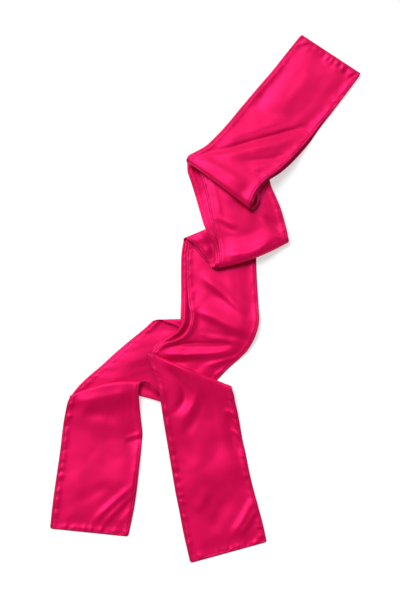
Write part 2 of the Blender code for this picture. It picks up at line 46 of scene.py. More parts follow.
# ---- sizes, in millimetres ----
CLOTH = 0.40  # thickness of the cloth
GAP = 0.16  # air between one stretch and the next
WIDTH = 100.0  # finished width of the strip
HEM = 3.9  # width of the turned hem
STITCH_IN = 3.2  # from the edge to the line of stitches
STEP = 1.15  # spacing of the rows along the strip
TURN_STEPS = 14  # facets round a turn
SETTLE = 4  # cells over which a stretch comes down past an edge under it
CELL = 1.0  # spacing of the height map that the stretches are laid on
# steepest fall of a stretch that comes down off a stack: 0.20 unless it is given here
FALL = {"bend_upper": 0.12, "tail_right": 0.085, "tail_left": 0.10}
CORNER = 3.2  # how far the rounding of a corner reaches

VIEW_DISTANCE = 1333.3
VIEW_TILT = math.radians(6.0)
GRID_FOCAL = 1000.0
GRID_MIDDLE = (200.0, 300.0)
GRID_UNIT = VIEW_DISTANCE / GRID_FOCAL
SHIFT = np.array((-11.84654688, -11.469213, 0.0))  # from the plan's middle to the part's origin

# columns across the strip: close together at the hems, even between them
HEM_COLUMNS = (0.0, 0.12, 0.4, 0.9, 1.6, 2.3, 2.8, 3.2, 3.6, 4.0, 4.6, 5.4, 6.4, 7.6, 9.0)
INNER = np.linspace(HEM_COLUMNS[-1], WIDTH - HEM_COLUMNS[-1], 57)[1:-1]
ACROSS = np.concatenate([HEM_COLUMNS, INNER, WIDTH - np.array(HEM_COLUMNS)[::-1]])
T = ACROSS / WIDTH

# ---- sections of each stretch on the plan grid, as in the model under the cloth ----
Section = namedtuple("Section", "xl yl xr yr bow_x bow_y", defaults=(0.0, 0.0))
Pair = namedtuple("Pair", "xl yl xr yr lap_l lap_r bow_x bow_y", defaults=(0.0, 0.0))

TAIL_TOP = (
    Pair(301.3, 34.5, 361.1, 73.8, 0.0, 0.0),
    Pair(286.8, 52.5, 346.8, 93.0, 0.0, 0.0),
    Pair(273.0, 70.0, 332.0, 112.0, 0.0, 0.3),
    Pair(257.5, 88.0, 319.0, 127.3, 0.0, 1.2),
    Pair(242.0, 106.3, 308.0, 141.0, -0.5, 2.4),
    Pair(228.0, 123.3, 297.3, 152.7, -0.5, 3.2),
    Pair(216.0, 136.3, 286.5, 163.8, -0.5, 3.4),
    Pair(205.0, 146.4, 275.5, 173.2, -0.5, 3.2),
    Pair(194.5, 152.2, 265.5, 180.4, -0.7, 2.4),
    Pair(189.0, 155.2, 257.8, 189.0, -0.8, 2.0),
    Pair(187.0, 158.0, 252.6, 198.6, -0.8, 1.8),
    Pair(187.2, 161.6, 251.6, 210.5, 0.0, 1.0, 0.0, -0.6),
)
TUCK_TOP = (
    Pair(187.2, 161.6, 250.6, 210.0, 0.0, 1.2, 0.0, -0.6),
    Pair(188.4, 161.8, 256.2, 206.8, 0.0, 1.8),
    Pair(189.7, 161.9, 259.4, 199.8, 0.0, 1.8),
    Pair(191.0, 162.0, 258.6, 193.0, 0.0, 1.8),
    Pair(192.2, 162.2, 260.3, 185.0, 0.0, 1.5),
    Pair(193.2, 162.4, 267.0, 177.5, 0.0, 1.0),
)
BEND = (
    Pair(196.6, 162.2, 269.0, 176.8, 9.6, -1.0),
    Pair(200.0, 173.0, 271.3, 186.0, 12.8, -2.0),
    Pair(203.4, 184.5, 275.6, 196.0, 12.4, -2.0),
    Pair(206.8, 199.0, 280.3, 207.0, 11.0, -2.5),
    Pair(209.7, 213.0, 283.6, 218.0, 9.6, -2.5),
    Pair(213.2, 226.8, 286.0, 227.0, 8.6, -2.5),
    Pair(217.2, 239.0, 287.6, 233.8, 6.6, -2.5),
    Pair(219.3, 250.0, 288.0, 237.6, 4.4, -2.5),
    Pair(219.4, 260.5, 287.5, 241.2, 4.2, -2.5),
    Pair(216.6, 268.6, 285.6, 244.0, 4.8, -2.5, 1.2, 3.0),
)
RETURN = (
    Pair(212.1, 270.3, 283.6, 244.6, -4.8, 2.5, 1.2, 3.0),
    Pair(207.6, 260.4, 279.0, 235.0, 1.6, 1.0),
    Pair(202.6, 254.4, 272.0, 226.0, 2.2, 1.0),
    Pair(197.2, 247.6, 266.0, 218.0, 2.2, 1.0),
    Pair(190.9, 241.9, 261.0, 211.0, 1.0, 0.5),
    Pair(184.3, 238.0, 258.0, 207.0, -1.8, 0.0),
)
RUN_UPPER = (
    Section(186.0, 237.3, 258.0, 207.0),
    Section(187.6, 246.0, 257.4, 226.0),
    Section(186.4, 256.0, 256.8, 245.0),
    Section(186.4, 266.0, 256.3, 262.0),
    Section(187.0, 280.0, 256.9, 279.0),
    Section(187.8, 295.0, 257.8, 295.0),
    Section(188.9, 306.5, 258.7, 309.0),
    Section(190.8, 317.0, 259.2, 321.0),
    Section(188.6, 326.5, 257.2, 331.0),
    Section(182.5, 335.5, 253.0, 341.5),
    Section(174.0, 340.0, 247.0, 351.0),
    Section(164.5, 342.2, 238.5, 359.5),
    Section(157.0, 347.0, 229.0, 368.0),
    Section(152.6, 351.0, 217.0, 380.5),
    Section(151.2, 353.0, 206.0, 393.0),
    Section(150.8, 354.3, 194.5, 407.0),
)
RUN_LOWER = (
    Section(184.3, 238.0, 258.0, 207.0),
    Section(182.2, 248.0, 256.4, 226.0),
    Section(181.2, 258.0, 255.4, 246.0),
    Section(181.0, 272.0, 254.8, 263.0),
    Section(181.1, 290.0, 255.6, 282.0),
    Section(180.9, 305.0, 257.0, 301.0),
    Section(180.5, 316.5, 257.8, 318.0),
    Section(180.3, 325.5, 256.4, 328.0),
    Section(176.6, 331.3, 255.0, 333.5),
    Section(170.0, 335.3, 253.8, 336.8),
    Section(164.3, 338.8, 252.8, 339.4),
    Section(159.6, 341.2, 252.2, 341.2),
    Section(154.5, 346.0, 251.6, 342.8),
    Section(150.8, 352.5, 251.0, 344.3),
)
TUCK_RIGHT = (
    Section(150.8, 354.3, 194.5, 407.0),
    Section(149.8, 353.6, 206.0, 402.0),
    Section(148.8, 353.0, 218.5, 395.0),
    Section(147.8, 352.5, 230.0, 385.6),
)
TAIL_RIGHT = (
    Section(147.5, 352.3, 230.0, 385.6),
    Section(148.5, 360.0, 233.3, 392.4),
    Section(152.4, 370.6, 235.2, 402.0),
    Section(156.2, 381.0, 237.2, 410.0),
    Section(159.2, 394.0, 238.8, 418.0),
    Section(161.5, 408.0, 240.5, 428.0),
    Section(164.0, 424.0, 242.8, 440.5),
    Section(167.3, 443.5, 245.8, 453.5),
    Section(171.0, 466.0, 249.0, 470.0),
    Section(175.0, 490.0, 253.0, 487.0),
    Section(179.2, 511.0, 258.0, 505.5),
    Section(183.2, 532.0, 262.6, 522.5),
    Section(190.3, 563.2, 266.9, 542.1),
)
TUCK_LEFT = (
    Section(150.8, 352.5, 251.0, 344.3),
    Section(166.0, 344.0, 252.0, 341.0),
    Section(179.0, 335.5, 253.3, 337.5),
    Section(180.5, 329.6, 254.5, 334.5),
    Section(174.5, 325.4, 255.8, 331.8),
    Section(166.0, 322.4, 257.0, 329.3),
    Section(156.5, 319.8, 258.0, 326.0, 0.0, -3.0),
)
CROSS_LEFT = (
    Section(156.5, 319.8, 258.0, 326.0, 0.0, -3.0),
    Section(151.2, 322.5, 252.0, 332.0),
    Section(145.5, 327.7, 246.0, 338.0),
    Section(130.0, 340.3, 228.0, 354.0),
    Section(115.5, 352.7, 211.0, 369.0),
    Section(101.0, 366.0, 195.0, 382.0),
    Section(88.5, 376.5, 182.0, 392.0),
    Section(77.5, 387.3, 172.0, 399.5),
    Section(70.0, 397.0, 166.0, 403.8, 0.0, -7.5),
)
WEDGE_LEFT = (
    Section(70.0, 397.0, 166.0, 403.8, 0.0, -7.5),
    Section(70.1, 396.9, 160.8, 398.0, 0.0, -6.5),
    Section(70.2, 396.8, 157.3, 391.5, 0.0, -6.0),
    Section(70.3, 396.7, 151.0, 385.0, 0.0, -5.5),
    Section(70.5, 396.5, 145.0, 381.0, 0.0, -5.0),
    Section(70.6, 396.3, 140.0, 381.3, 0.0, -5.0),
)
TAIL_LEFT = (
    Section(70.6, 396.3, 140.0, 381.3, 0.0, -5.0),
    Section(68.0, 401.0, 139.0, 390.0),
    Section(65.6, 411.0, 139.6, 404.0),
    Section(63.6, 422.0, 141.0, 419.0),
    Section(62.0, 434.0, 142.6, 434.0),
    Section(60.7, 446.0, 141.7, 445.0),
    Section(58.8, 460.0, 140.2, 460.0),
    Section(56.6, 475.0, 138.4, 476.0),
    Section(54.4, 490.0, 136.6, 492.0),
    Section(52.3, 506.0, 134.0, 509.0),
    Section(49.9, 528.7, 128.3, 536.7),
)

# ---- creases: half the height of the turn, the inner ply's set-back, how far the stretch above stays lofted,
#      and how far the turn reaches in plan, each at the left and the right end ----
Crease = namedtuple("Crease", "radius_l radius_r tip_l tip_r reach_l reach_r round_l round_r")
CREASES = {
    "doubled_end": Crease(0.5, 0.5, 0.0, 0.0, 6.0, 6.0, 0.6, 0.6),
    "first": Crease(1.4, 4.8, 1.2, 1.4, 14.0, 44.0, 2.4, 8.5),
    "first_hidden": Crease(0.6, 0.6, 1.4, 1.4, 6.0, 6.0, 0.6, 0.6),
    "second": Crease(3.6, 1.8, 3.0, 1.4, 26.0, 18.0, 5.5, 5.0),
    "third": Crease(1.8, 1.0, 1.3, 1.3, 14.0, 12.0, 2.4, 1.4),
    "right_hidden": Crease(0.6, 0.6, 0.0, 0.0, 8.0, 8.0, 0.6, 0.6),
    "right_top": Crease(1.0, 1.4, 0.0, 0.0, 30.0, 34.0, 2.0, 3.6),
    "left_hidden": Crease(0.6, 0.6, 0.0, 0.0, 8.0, 8.0, 0.6, 0.6),
    "left_crest": Crease(1.0, 1.2, 0.0, 0.0, 10.0, 14.0, 3.2, 3.0),
    "wedge_low": Crease(0.9, 0.9, 0.0, 0.0, 10.0, 10.0, 0.9, 0.9),
    "wedge_top": Crease(0.8, 2.5, 0.0, 0.0, 18.0, 44.0, 1.4, 4.0),
}

# ---- soft folds: height (a trough is below zero) and the half-widths to the left and right
#      of the line, in mm, and the line's points on the plan grid ----
Fold = namedtuple("Fold", "stretch height left right line")
FOLDS = (
    # doubled end
    Fold("tail_top_upper", 1.7, 14, 34, ((316, 58), (299, 82), (282, 106), (268, 128))),
    Fold("tail_top_upper", -0.7, 7, 8, ((292, 62), (276, 82), (262, 99), (248, 116))),
    Fold("tail_top_upper", 1.2, 9, 5, ((212, 142), (240, 134), (268, 125), (296, 116))),
    Fold("tail_top_upper", -2.8, 4.5, 3.5, ((200, 154.5), (226, 149.5), (252, 142), (276, 135.5), (300, 129), (322, 126))),
    Fold("tail_top_upper", 2.0, 3.5, 8, ((206, 158), (230, 154), (258, 147.5), (286, 141), (308, 136))),
    Fold("tail_top_upper", -1.6, 5, 5, ((236, 162), (256, 161), (276, 158), (290, 152))),
    Fold("tail_top_upper", 1.2, 4, 4, ((272, 166), (284, 162), (297, 154))),
    Fold("tail_top_upper", -1.2, 5, 4, ((244, 168), (258, 174), (268, 177))),
    Fold("tail_top_upper", 2.4, 6, 8, ((190, 157), (204, 161), (222, 170), (238, 180), (252, 190))),
    Fold("tuck_upper", 3.2, 2.4, 2.6, ((252, 208.5), (256.2, 205), (258, 200), (257, 194), (257.5, 188), (262, 180))),
    Fold("tuck_lower", 1.8, 2.4, 2.6, ((252, 208.5), (256.2, 205), (258, 200), (257, 194), (257.5, 188), (262, 180))),
    # first bend
    Fold("bend_upper", 2.8, 6, 5, ((221, 254), (238, 254.5), (254, 251), (266, 243), (274, 234))),
    Fold("bend_upper", 1.3, 4, 4, ((258, 216), (267, 227), (277, 236), (287, 240))),
    Fold("bend_upper", -1.0, 4, 3, ((262, 214), (272, 224), (282, 233))),
    Fold("bend_upper", -1.0, 3, 3, ((215, 222), (226, 227.5), (239, 233))),
    Fold("bend_upper", 0.8, 4, 3, ((214, 216), (228, 222), (240, 228))),
    Fold("bend_upper", 1.8, 6, 5, ((219, 222), (218, 208), (214.5, 193), (209, 176))),
    Fold("bend_upper", 5.2, 9, 26, ((200, 158), (213, 170), (231, 183), (254, 197))),
    # return
    Fold("return_upper", 3.0, 4, 7, ((198, 231), (203.5, 241), (208, 250), (211, 258))),
    # long middle run
    Fold("run_upper", 3.4, 8, 5.5, ((198, 270), (207, 280), (219, 290), (233, 302), (248, 318))),
    Fold("run_upper", 0.9, 5, 5, ((221, 275), (231, 285), (241, 295), (251, 306))),
    Fold("run_upper", 3.8, 11, 6, ((188, 307), (204, 313), (224, 323), (252, 337))),
    Fold("run_upper", 1.0, 4, 4, ((192, 333), (206, 336), (226, 340), (244, 344))),
    Fold("run_upper", -3.0, 3.5, 3, ((160, 347), (178, 345.5), (200, 345), (240, 344.5))),
    Fold("run_upper", 2.8, 4, 5, ((156, 353), (182, 354.5), (206, 354), (240, 351))),
    Fold("run_upper", -1.2, 4, 4, ((162, 359), (176, 362), (190, 363))),
    Fold("run_upper", 1.6, 3.5, 3.5, ((203, 366), (219, 362.5), (238, 356))),
    Fold("run_upper", 1.0, 3, 3, ((211, 375), (218, 373), (226, 370))),
    Fold("run_upper", 0.9, 2, 2, ((187, 294), (192, 292), (198, 290))),
    Fold("run_upper", -0.8, 2, 2, ((188, 302), (193, 301), (199, 299))),
    Fold("run_upper", 0.9, 2, 2, ((189, 310), (194, 308), (200, 306))),
    Fold("run_upper", 2.4, 3.5, 5, ((193, 306), (193, 322), (187, 334), (177, 341), (166, 344), (156, 350.5))),
    Fold("run_lower", 3.6, 5, 1.8, ((184.2, 290), (184.4, 312), (183.4, 323), (178.2, 331.6), (170, 336.8), (159, 342.8))),
    # right tail
    Fold("tail_right", 3.0, 28, 26, ((160, 486), (190, 481), (216, 472), (246, 454))),
    Fold("tail_right", 3.0, 12, 5, ((164, 360), (182, 369), (193, 382), (196, 397), (190, 411), (176, 424))),
    Fold("tail_right", -2.6, 4.5, 5.5, ((162, 366), (175, 375), (183, 386), (184.5, 397), (178, 409), (168, 417))),
    Fold("tail_right", -1.5, 7, 7, ((200, 390), (199, 406), (190, 426), (182, 440))),
    Fold("tail_right", 0.8, 10, 12, ((214, 420), (206, 438), (199, 460), (193, 484))),
    Fold("tail_right", 1.3, 7, 16, ((214, 414), (222, 438), (232, 462), (243, 486))),
    Fold("tail_right", -1.5, 6, 6, ((228, 410), (234, 434), (240, 456))),
    Fold("tail_right", 1.0, 3, 3, ((224, 409), (229, 412), (235, 417))),
    Fold("tail_right", 1.0, 3, 3, ((229, 429), (234, 432), (240, 437))),
    Fold("tail_right", 1.3, 7, 9, ((210, 486), (203, 500), (196, 514))),
    Fold("tail_right", 2.4, 8, 5, ((256, 492), (246, 514), (230, 540))),
    Fold("tail_right", 1.4, 3, 3, ((258, 506), (249, 522), (238, 538))),
    Fold("tail_right", -1.2, 9, 8, ((230, 494), (220, 514), (210, 534))),
    # left side
    Fold("cross_left", 3.6, 11, 30, ((88, 392), (118, 364), (146, 339), (160, 328))),
    Fold("cross_left", -1.8, 4, 5, ((154, 328), (168, 328), (182, 334))),
    Fold("tuck_left", 1.2, 3.5, 3.5, ((152, 318), (166, 321.5), (176, 325), (186, 330))),
    Fold("wedge_left", 2.4, 3, 3.5, ((138, 383), (148, 384.2), (154.5, 389), (159, 398))),
    Fold("tail_left", 1.8, 6, 14, ((64, 404), (90, 400), (112, 396), (142, 388))),
    Fold("tail_left", 1.2, 24, 34, ((48, 490), (86, 486), (116, 482), (154, 474))),
    Fold("tail_left", -1.2, 9, 8, ((80, 412), (100, 414), (122, 418))),
    Fold("tail_left", 2.0, 8, 26, ((145, 436), (138, 458), (131, 484), (122, 506))),
    Fold("tail_left", -1.5, 3, 3, ((148, 438), (138, 439.5), (124, 443))),
    Fold("tail_left", 0.9, 3, 3.5, ((124, 439), (134, 436), (144, 432))),
    Fold("tail_left", 2.0, 4.5, 4, ((137, 482), (122, 495), (105, 510), (88, 527))),
    Fold("tail_left", 1.5, 3, 4.5, ((137, 490), (124, 503), (111, 516), (98, 530))),
    Fold("tail_left", 0.9, 3, 4, ((136, 503), (127, 514), (118, 526))),
    Fold("tail_left", -0.9, 7, 8, ((110, 482), (90, 496), (72, 506))),
)


# ---- plan geometry ----
def from_plan(x, y, z):
    a = (x - GRID_MIDDLE[0]) / GRID_FOCAL
    b = (GRID_MIDDLE[1] - y) / GRID_FOCAL
    sin_t, cos_t = math.sin(VIEW_TILT), math.cos(VIEW_TILT)
    down = cos_t - b * sin_t
    reach = (VIEW_DISTANCE * cos_t - z) / down
    return reach * a, -VIEW_DISTANCE * sin_t + reach * (sin_t + b * cos_t)


def upper_ply(pairs):
    return tuple(Section(p.xl, p.yl, p.xr, p.yr, p.bow_x, p.bow_y) for p in pairs)


def lower_ply(pairs):
    rows = []
    for p in pairs:
        dx, dy = p.xr - p.xl, p.yr - p.yl
        size = math.hypot(dx, dy)
        dx, dy = dx / size, dy / size
        rows.append(
            Section(
                p.xl - dx * p.lap_l,
                p.yl - dy * p.lap_l,
                p.xr + dx * p.lap_r,
                p.yr + dy * p.lap_r,
                p.bow_x,
                p.bow_y,
            )
        )
    return tuple(rows)


def curve_rows(rows, count):
    """The section table read at count even steps along the stretch, on smooth curves through its rows."""
    table = np.array(rows, float)
    left, right = table[:, 0:2], table[:, 2:4]
    step = np.sqrt(
        0.5 * (np.diff(left, axis=0) ** 2).sum(1) + 0.5 * (np.diff(right, axis=0) ** 2).sum(1)
    )
    knots = np.concatenate([[0.0], np.cumsum(step)])
    secant = np.diff(table, axis=0) / step[:, None]
    slope = np.empty_like(table)
    slope[0], slope[-1] = secant[0], secant[-1]
    before, after = step[:-1, None], step[1:, None]
    slope[1:-1] = (secant[:-1] * after + secant[1:] * before) / (before + after)
    where = np.linspace(0.0, knots[-1], count)
    at = np.clip(np.searchsorted(knots, where, side="right") - 1, 0, len(step) - 1)
    h = step[at][:, None]
    f = ((where - knots[at]) / step[at])[:, None]
    return (
        table[at] * (2 * f**3 - 3 * f**2 + 1)
        + slope[at] * h * (f**3 - 2 * f**2 + f)
        + table[at + 1] * (3 * f**2 - 2 * f**3)
        + slope[at + 1] * h * (f**3 - f**2)
    )


def across(dense, t):
    t = np.asarray(t, float)[None, :]
    bow = 4 * t * (1 - t)
    x = dense[:, 0:1] * (1 - t) + dense[:, 2:3] * t + dense[:, 4:5] * bow
    y = dense[:, 1:2] * (1 - t) + dense[:, 3:4] * t + dense[:, 5:6] * bow
    return x, y


def crease_frame(row, t, inside):
    x, y = across(row[None, :], t)
    tx = row[2] - row[0] + row[4] * 4 * (1 - 2 * t)
    ty = row[3] - row[1] + row[5] * 4 * (1 - 2 * t)
    size = np.hypot(tx, ty)
    nx, ny = ty / size, -tx / size
    middle = len(t) // 2
    if (inside[0] - x[0][middle]) * nx[middle] + (inside[1] - y[0][middle]) * ny[middle] > 0:
        nx, ny = -nx, -ny
    return x[0], y[0], nx, ny


def smooth_line(points, count):
    """A smooth curve through a few points."""
    p = np.array(points, float)
    if len(p) < 3:
        return p[0] + (p[-1] - p[0]) * np.linspace(0, 1, count)[:, None]
    step = np.linalg.norm(np.diff(p, axis=0), axis=1)
    knots = np.concatenate([[0.0], np.cumsum(step)])
    secant = np.diff(p, axis=0) / step[:, None]
    slope = np.empty_like(p)
    slope[0], slope[-1] = secant[0], secant[-1]
    slope[1:-1] = (secant[:-1] * step[1:, None] + secant[1:] * step[:-1, None]) / (step[:-1] + step[1:])[:, None]
    where = np.linspace(0.0, knots[-1], count)
    at = np.clip(np.searchsorted(knots, where, side="right") - 1, 0, len(step) - 1)
    h, f = step[at][:, None], ((where - knots[at]) / step[at])[:, None]
    return (
        p[at] * (2 * f**3 - 3 * f**2 + 1)
        + slope[at] * h * (f**3 - 2 * f**2 + f)
        + p[at + 1] * (3 * f**2 - 2 * f**3)
        + slope[at + 1] * h * (f**3 - f**2)
    )


def ease(x):
    x = np.clip(x, 0.0, 1.0)
    return x * x * (3 - 2 * x)


def fold_height(x, y, fold):
    """Height that one fold adds at plan points: a rounded section that dies away to both ends of its line."""
    line = smooth_line(fold.line, 18)
    start, step = line[:-1], np.diff(line, axis=0)
    size = np.linalg.norm(step, axis=1)
    run = np.concatenate([[0.0], np.cumsum(size)])
    px, py = x.ravel()[:, None] - start[:, 0], y.ravel()[:, None] - start[:, 1]
    u = np.clip((px * step[:, 0] + py * step[:, 1]) / size**2, 0, 1)
    far = (px - u * step[:, 0]) ** 2 + (py - u * step[:, 1]) ** 2
    k = far.argmin(1)
    n = np.arange(len(k))
    side = step[k, 0] * py[n, k] - step[k, 1] * px[n, k]  # below zero to the left of the line, as it is seen
    along = (run[k] + u[n, k] * size[k]) / run[-1]
    half = np.where(side < 0, fold.left, fold.right)
    deep = np.exp(-far[n, k] * GRID_UNIT**2 / half**2)
    return (fold.height * deep * ease(along / 0.32) * ease((1 - along) / 0.32)).reshape(x.shape)


def waves(along, aside, seed, long, short):
    """Smooth uneven waves between about -1 and 1."""
    rng = np.random.default_rng(seed)
    total = np.zeros_like(along)
    for _ in range(7):
        angle = rng.uniform(-0.9, 0.9)
        a = (along * math.cos(angle) + aside * math.sin(angle)) / (long * rng.uniform(0.7, 1.5))
        b = (aside * math.cos(angle) - along * math.sin(angle)) / (short * rng.uniform(0.7, 1.5))
        total += np.sin(2 * math.pi * a + rng.uniform(0, 6.28)) * np.cos(2 * math.pi * b + rng.uniform(0, 6.28))
    return total / 3.0


def puckers(along, inward, size, seed, every, height, reach):
    """Small ridges and dips that run in from the stitches of a hem, unevenly spaced."""
    rng = np.random.default_rng(seed)
    field = np.zeros_like(along)
    place = rng.uniform(0, every)
    while place < size:
        tall = height * rng.uniform(0.3, 1.0) * (1.0 if rng.random() < 0.55 else -0.9)
        wide = rng.uniform(1.5, 2.7)
        deep = reach * rng.uniform(0.6, 1.5)
        lean = rng.uniform(-0.4, 0.4)
        off = (along - place - lean * inward) / (wide * (1 + 0.05 * inward))
        start = STITCH_IN + 0.8
        run = np.where(inward < start, 0.12 + 0.88 * ease(inward / start) ** 2, np.exp(-(((inward - start) / deep) ** 2)))
        field += tall * np.exp(-off * off) * run
        place += every * rng.uniform(0.45, 1.6)
    return field


# stretches pressed flat inside the stack
PRESSED = ("tuck_lower", "tuck_upper", "tuck_right", "tuck_left", "return_lower", "wedge_left")
# height of the puckers along the left and the right hem, where they are stronger than elsewhere
PUCKERED = {
    "tail_top_upper": (0.55, 1.1),
    "run_upper": (0.6, 0.4),
    "tail_right": (1.15, 0.75),
    "tail_left": (1.1, 0.5),
}


class Stretch:
    """One stretch of one ply between two creases, as a fine grid of points."""

    def __init__(self, name, rows, start, end, seed):
        self.name, self.seed = name, seed
        dense = curve_rows(rows, 500)
        gx, gy = across(dense, T)
        columns = len(T)
        middle = (gx[250, columns // 2], gy[250, columns // 2])
        self.ends = {}
        span = np.linspace(0.0, 1.0, 500)
        low, high = np.zeros(columns), np.ones(columns)
        for which, crease, row in (("start", start, dense[0]), ("end", end, dense[-1])):
            if crease is None:
                continue
            size = CREASES[crease[0]]
            radius = size.radius_l + (size.radius_r - size.radius_l) * T
            rounded = size.round_l + (size.round_r - size.round_l) * T
            tip = size.tip_l + (size.tip_r - size.tip_l) * T
            reach = size.reach_l + (size.reach_r - size.reach_l) * T
            cx, cy, nx, ny = crease_frame(row, T, middle)
            away = -((gx - cx) * nx + (gy - cy) * ny) * GRID_UNIT
            if which == "end":
                away = away[::-1]
            away = np.maximum.accumulate(np.maximum(away, 0.0), axis=0)
            offset = np.minimum(rounded + tip, 0.4 * away[-1])
            for j in range(columns):
                cut = np.interp(offset[j], away[:, j] + span * 1e-6, span)
                if which == "start":
                    low[j] = cut
                else:
                    high[j] = 1.0 - cut
            bulge = np.maximum(offset - tip, 0.35) if crease[1] else offset
            self.ends[which] = dict(
                cx=cx, cy=cy, nx=nx, ny=ny, radius=radius, reach=reach, bulge=np.maximum(bulge, 0.35)
            )
        length = np.hypot(np.diff(gx[:, columns // 2]), np.diff(gy[:, columns // 2])).sum() * GRID_UNIT
        fine_start = start is not None and start[0] == "doubled_end"
        fine_end = end is None
        first = np.array(HEM_COLUMNS) if fine_start else np.array([0.0])
        last = length - np.array(HEM_COLUMNS)[::-1] if fine_end else np.array([length])
        count = max(3, int(round((last[0] - first[-1]) / STEP)) + 1)
        place = np.concatenate([first, np.linspace(first[-1], last[0], count)[1:-1], last])
        share = np.repeat((place / length)[:, None], columns, axis=1)
        side = np.repeat(T[None, :], len(place), axis=0)
        if fine_end or fine_start:  # the corners are rounded
            run = place if fine_start else length - place
            for sign, inward in ((1, ACROSS), (-1, WIDTH - ACROSS)):
                u = np.clip(1 - inward / CORNER, 0, 1)[None, :]
                v = np.clip(1 - run / CORNER, 0, 1)[:, None]
                side = side + sign * 0.29 * CORNER / WIDTH * u * v * v
                share = share + (1 if fine_start else -1) * 0.29 * CORNER / length * u * u * v
        at = low[None, :] + (high - low)[None, :] * share
        row = [np.interp(at, span, dense[:, k]) for k in range(6)]
        bow = 4 * side * (1 - side)
        self.x = row[0] * (1 - side) + row[2] * side + row[4] * bow
        self.y = row[1] * (1 - side) + row[3] * side + row[5] * bow
        self.length = length
        self.along = np.repeat(place[:, None], columns, axis=1)
        self.aside = np.repeat(ACROSS[None, :], len(place), axis=0)
        edge = np.minimum(self.aside, WIDTH - self.aside)
        if fine_start:
            edge = np.minimum(edge, self.along)
        if fine_end:
            edge = np.minimum(edge, length - self.along)
        self.edge = edge
        self.fine_start, self.fine_end = fine_start, fine_end
        flat = 0.35 if name in PRESSED else 1.0
        self.extra = 0.15 + flat * (self.relief() - 0.15) + self.folds()

    def relief(self):
        """The lie of the cloth by itself: a lifted hem, the dip inside it, puckers and soft waves."""
        s, a, e = self.along, self.aside, self.edge
        uneven = 0.7 + 0.3 * np.sin(s / 19.0 + self.seed) * np.sin(s / 31.0 + 2 * self.seed)
        lift = 1.0 * uneven * np.exp(-(((e - 5.2) / 3.4) ** 2))
        band = 0.22 * np.exp(-(((e - 1.8) / 1.0) ** 2)) - 0.26 * np.exp(-(((e - STITCH_IN) / 0.5) ** 2))
        inside = 1.0 * ease((e - 7.0) / 22.0)
        field = 0.15 + lift + band + inside
        field += 0.30 * waves(s, a, self.seed * 7 + 1, 85.0, 46.0) * ease(e / 14.0)
        field += 0.08 * waves(s, a, self.seed * 7 + 2, 31.0, 22.0) * ease(e / 8.0)
        # the hems' puckers, which die away towards a crease
        fade = np.ones_like(s)
        if not self.fine_start:
            fade *= ease((s - 2.0) / 12.0)
        if not self.fine_end:
            fade *= ease((self.length - s - 2.0) / 12.0)
        tall_left, tall_right = PUCKERED.get(self.name, (0.4, 0.35))
        field += fade * puckers(s, a, self.length, self.seed * 11 + 1, 8.8, tall_left, 4.6)
        field += fade * puckers(s, WIDTH - a, self.length, self.seed * 11 + 2, 8.8, tall_right, 4.6)
        if self.fine_start:
            field += puckers(a, s, WIDTH, self.seed * 11 + 3, 7.6, 1.5, 5.2)
        if self.fine_end:
            field += puckers(a, self.length - s, WIDTH, self.seed * 11 + 4, 7.6, 1.6, 5.6)
        return field

    def folds(self):
        field = np.zeros_like(self.x)
        for fold in FOLDS:
            if fold.stretch == self.name:
                field += fold_height(self.x, self.y, fold)
        return field

    def loft(self, which):
        """Raises the stretch where it comes off the turn at one of its creases, and eases it down past it."""
        end = self.ends[which]
        away = -((self.x - end["cx"]) * end["nx"] + (self.y - end["cy"]) * end["ny"]) * GRID_UNIT
        share = np.clip(away / end["reach"], 0.0, 1.0)
        self.extra += 2 * (end["radius"] - 0.3) * 0.5 * (1 + np.cos(math.pi * share))

    def calm(self, which, reach=9.0):
        """Lets the relief die away towards a hidden crease."""
        end = self.ends[which]
        away = -((self.x - end["cx"]) * end["nx"] + (self.y - end["cy"]) * end["ny"]) * GRID_UNIT
        self.extra = 0.2 + (self.extra - 0.2) * ease(away / reach)


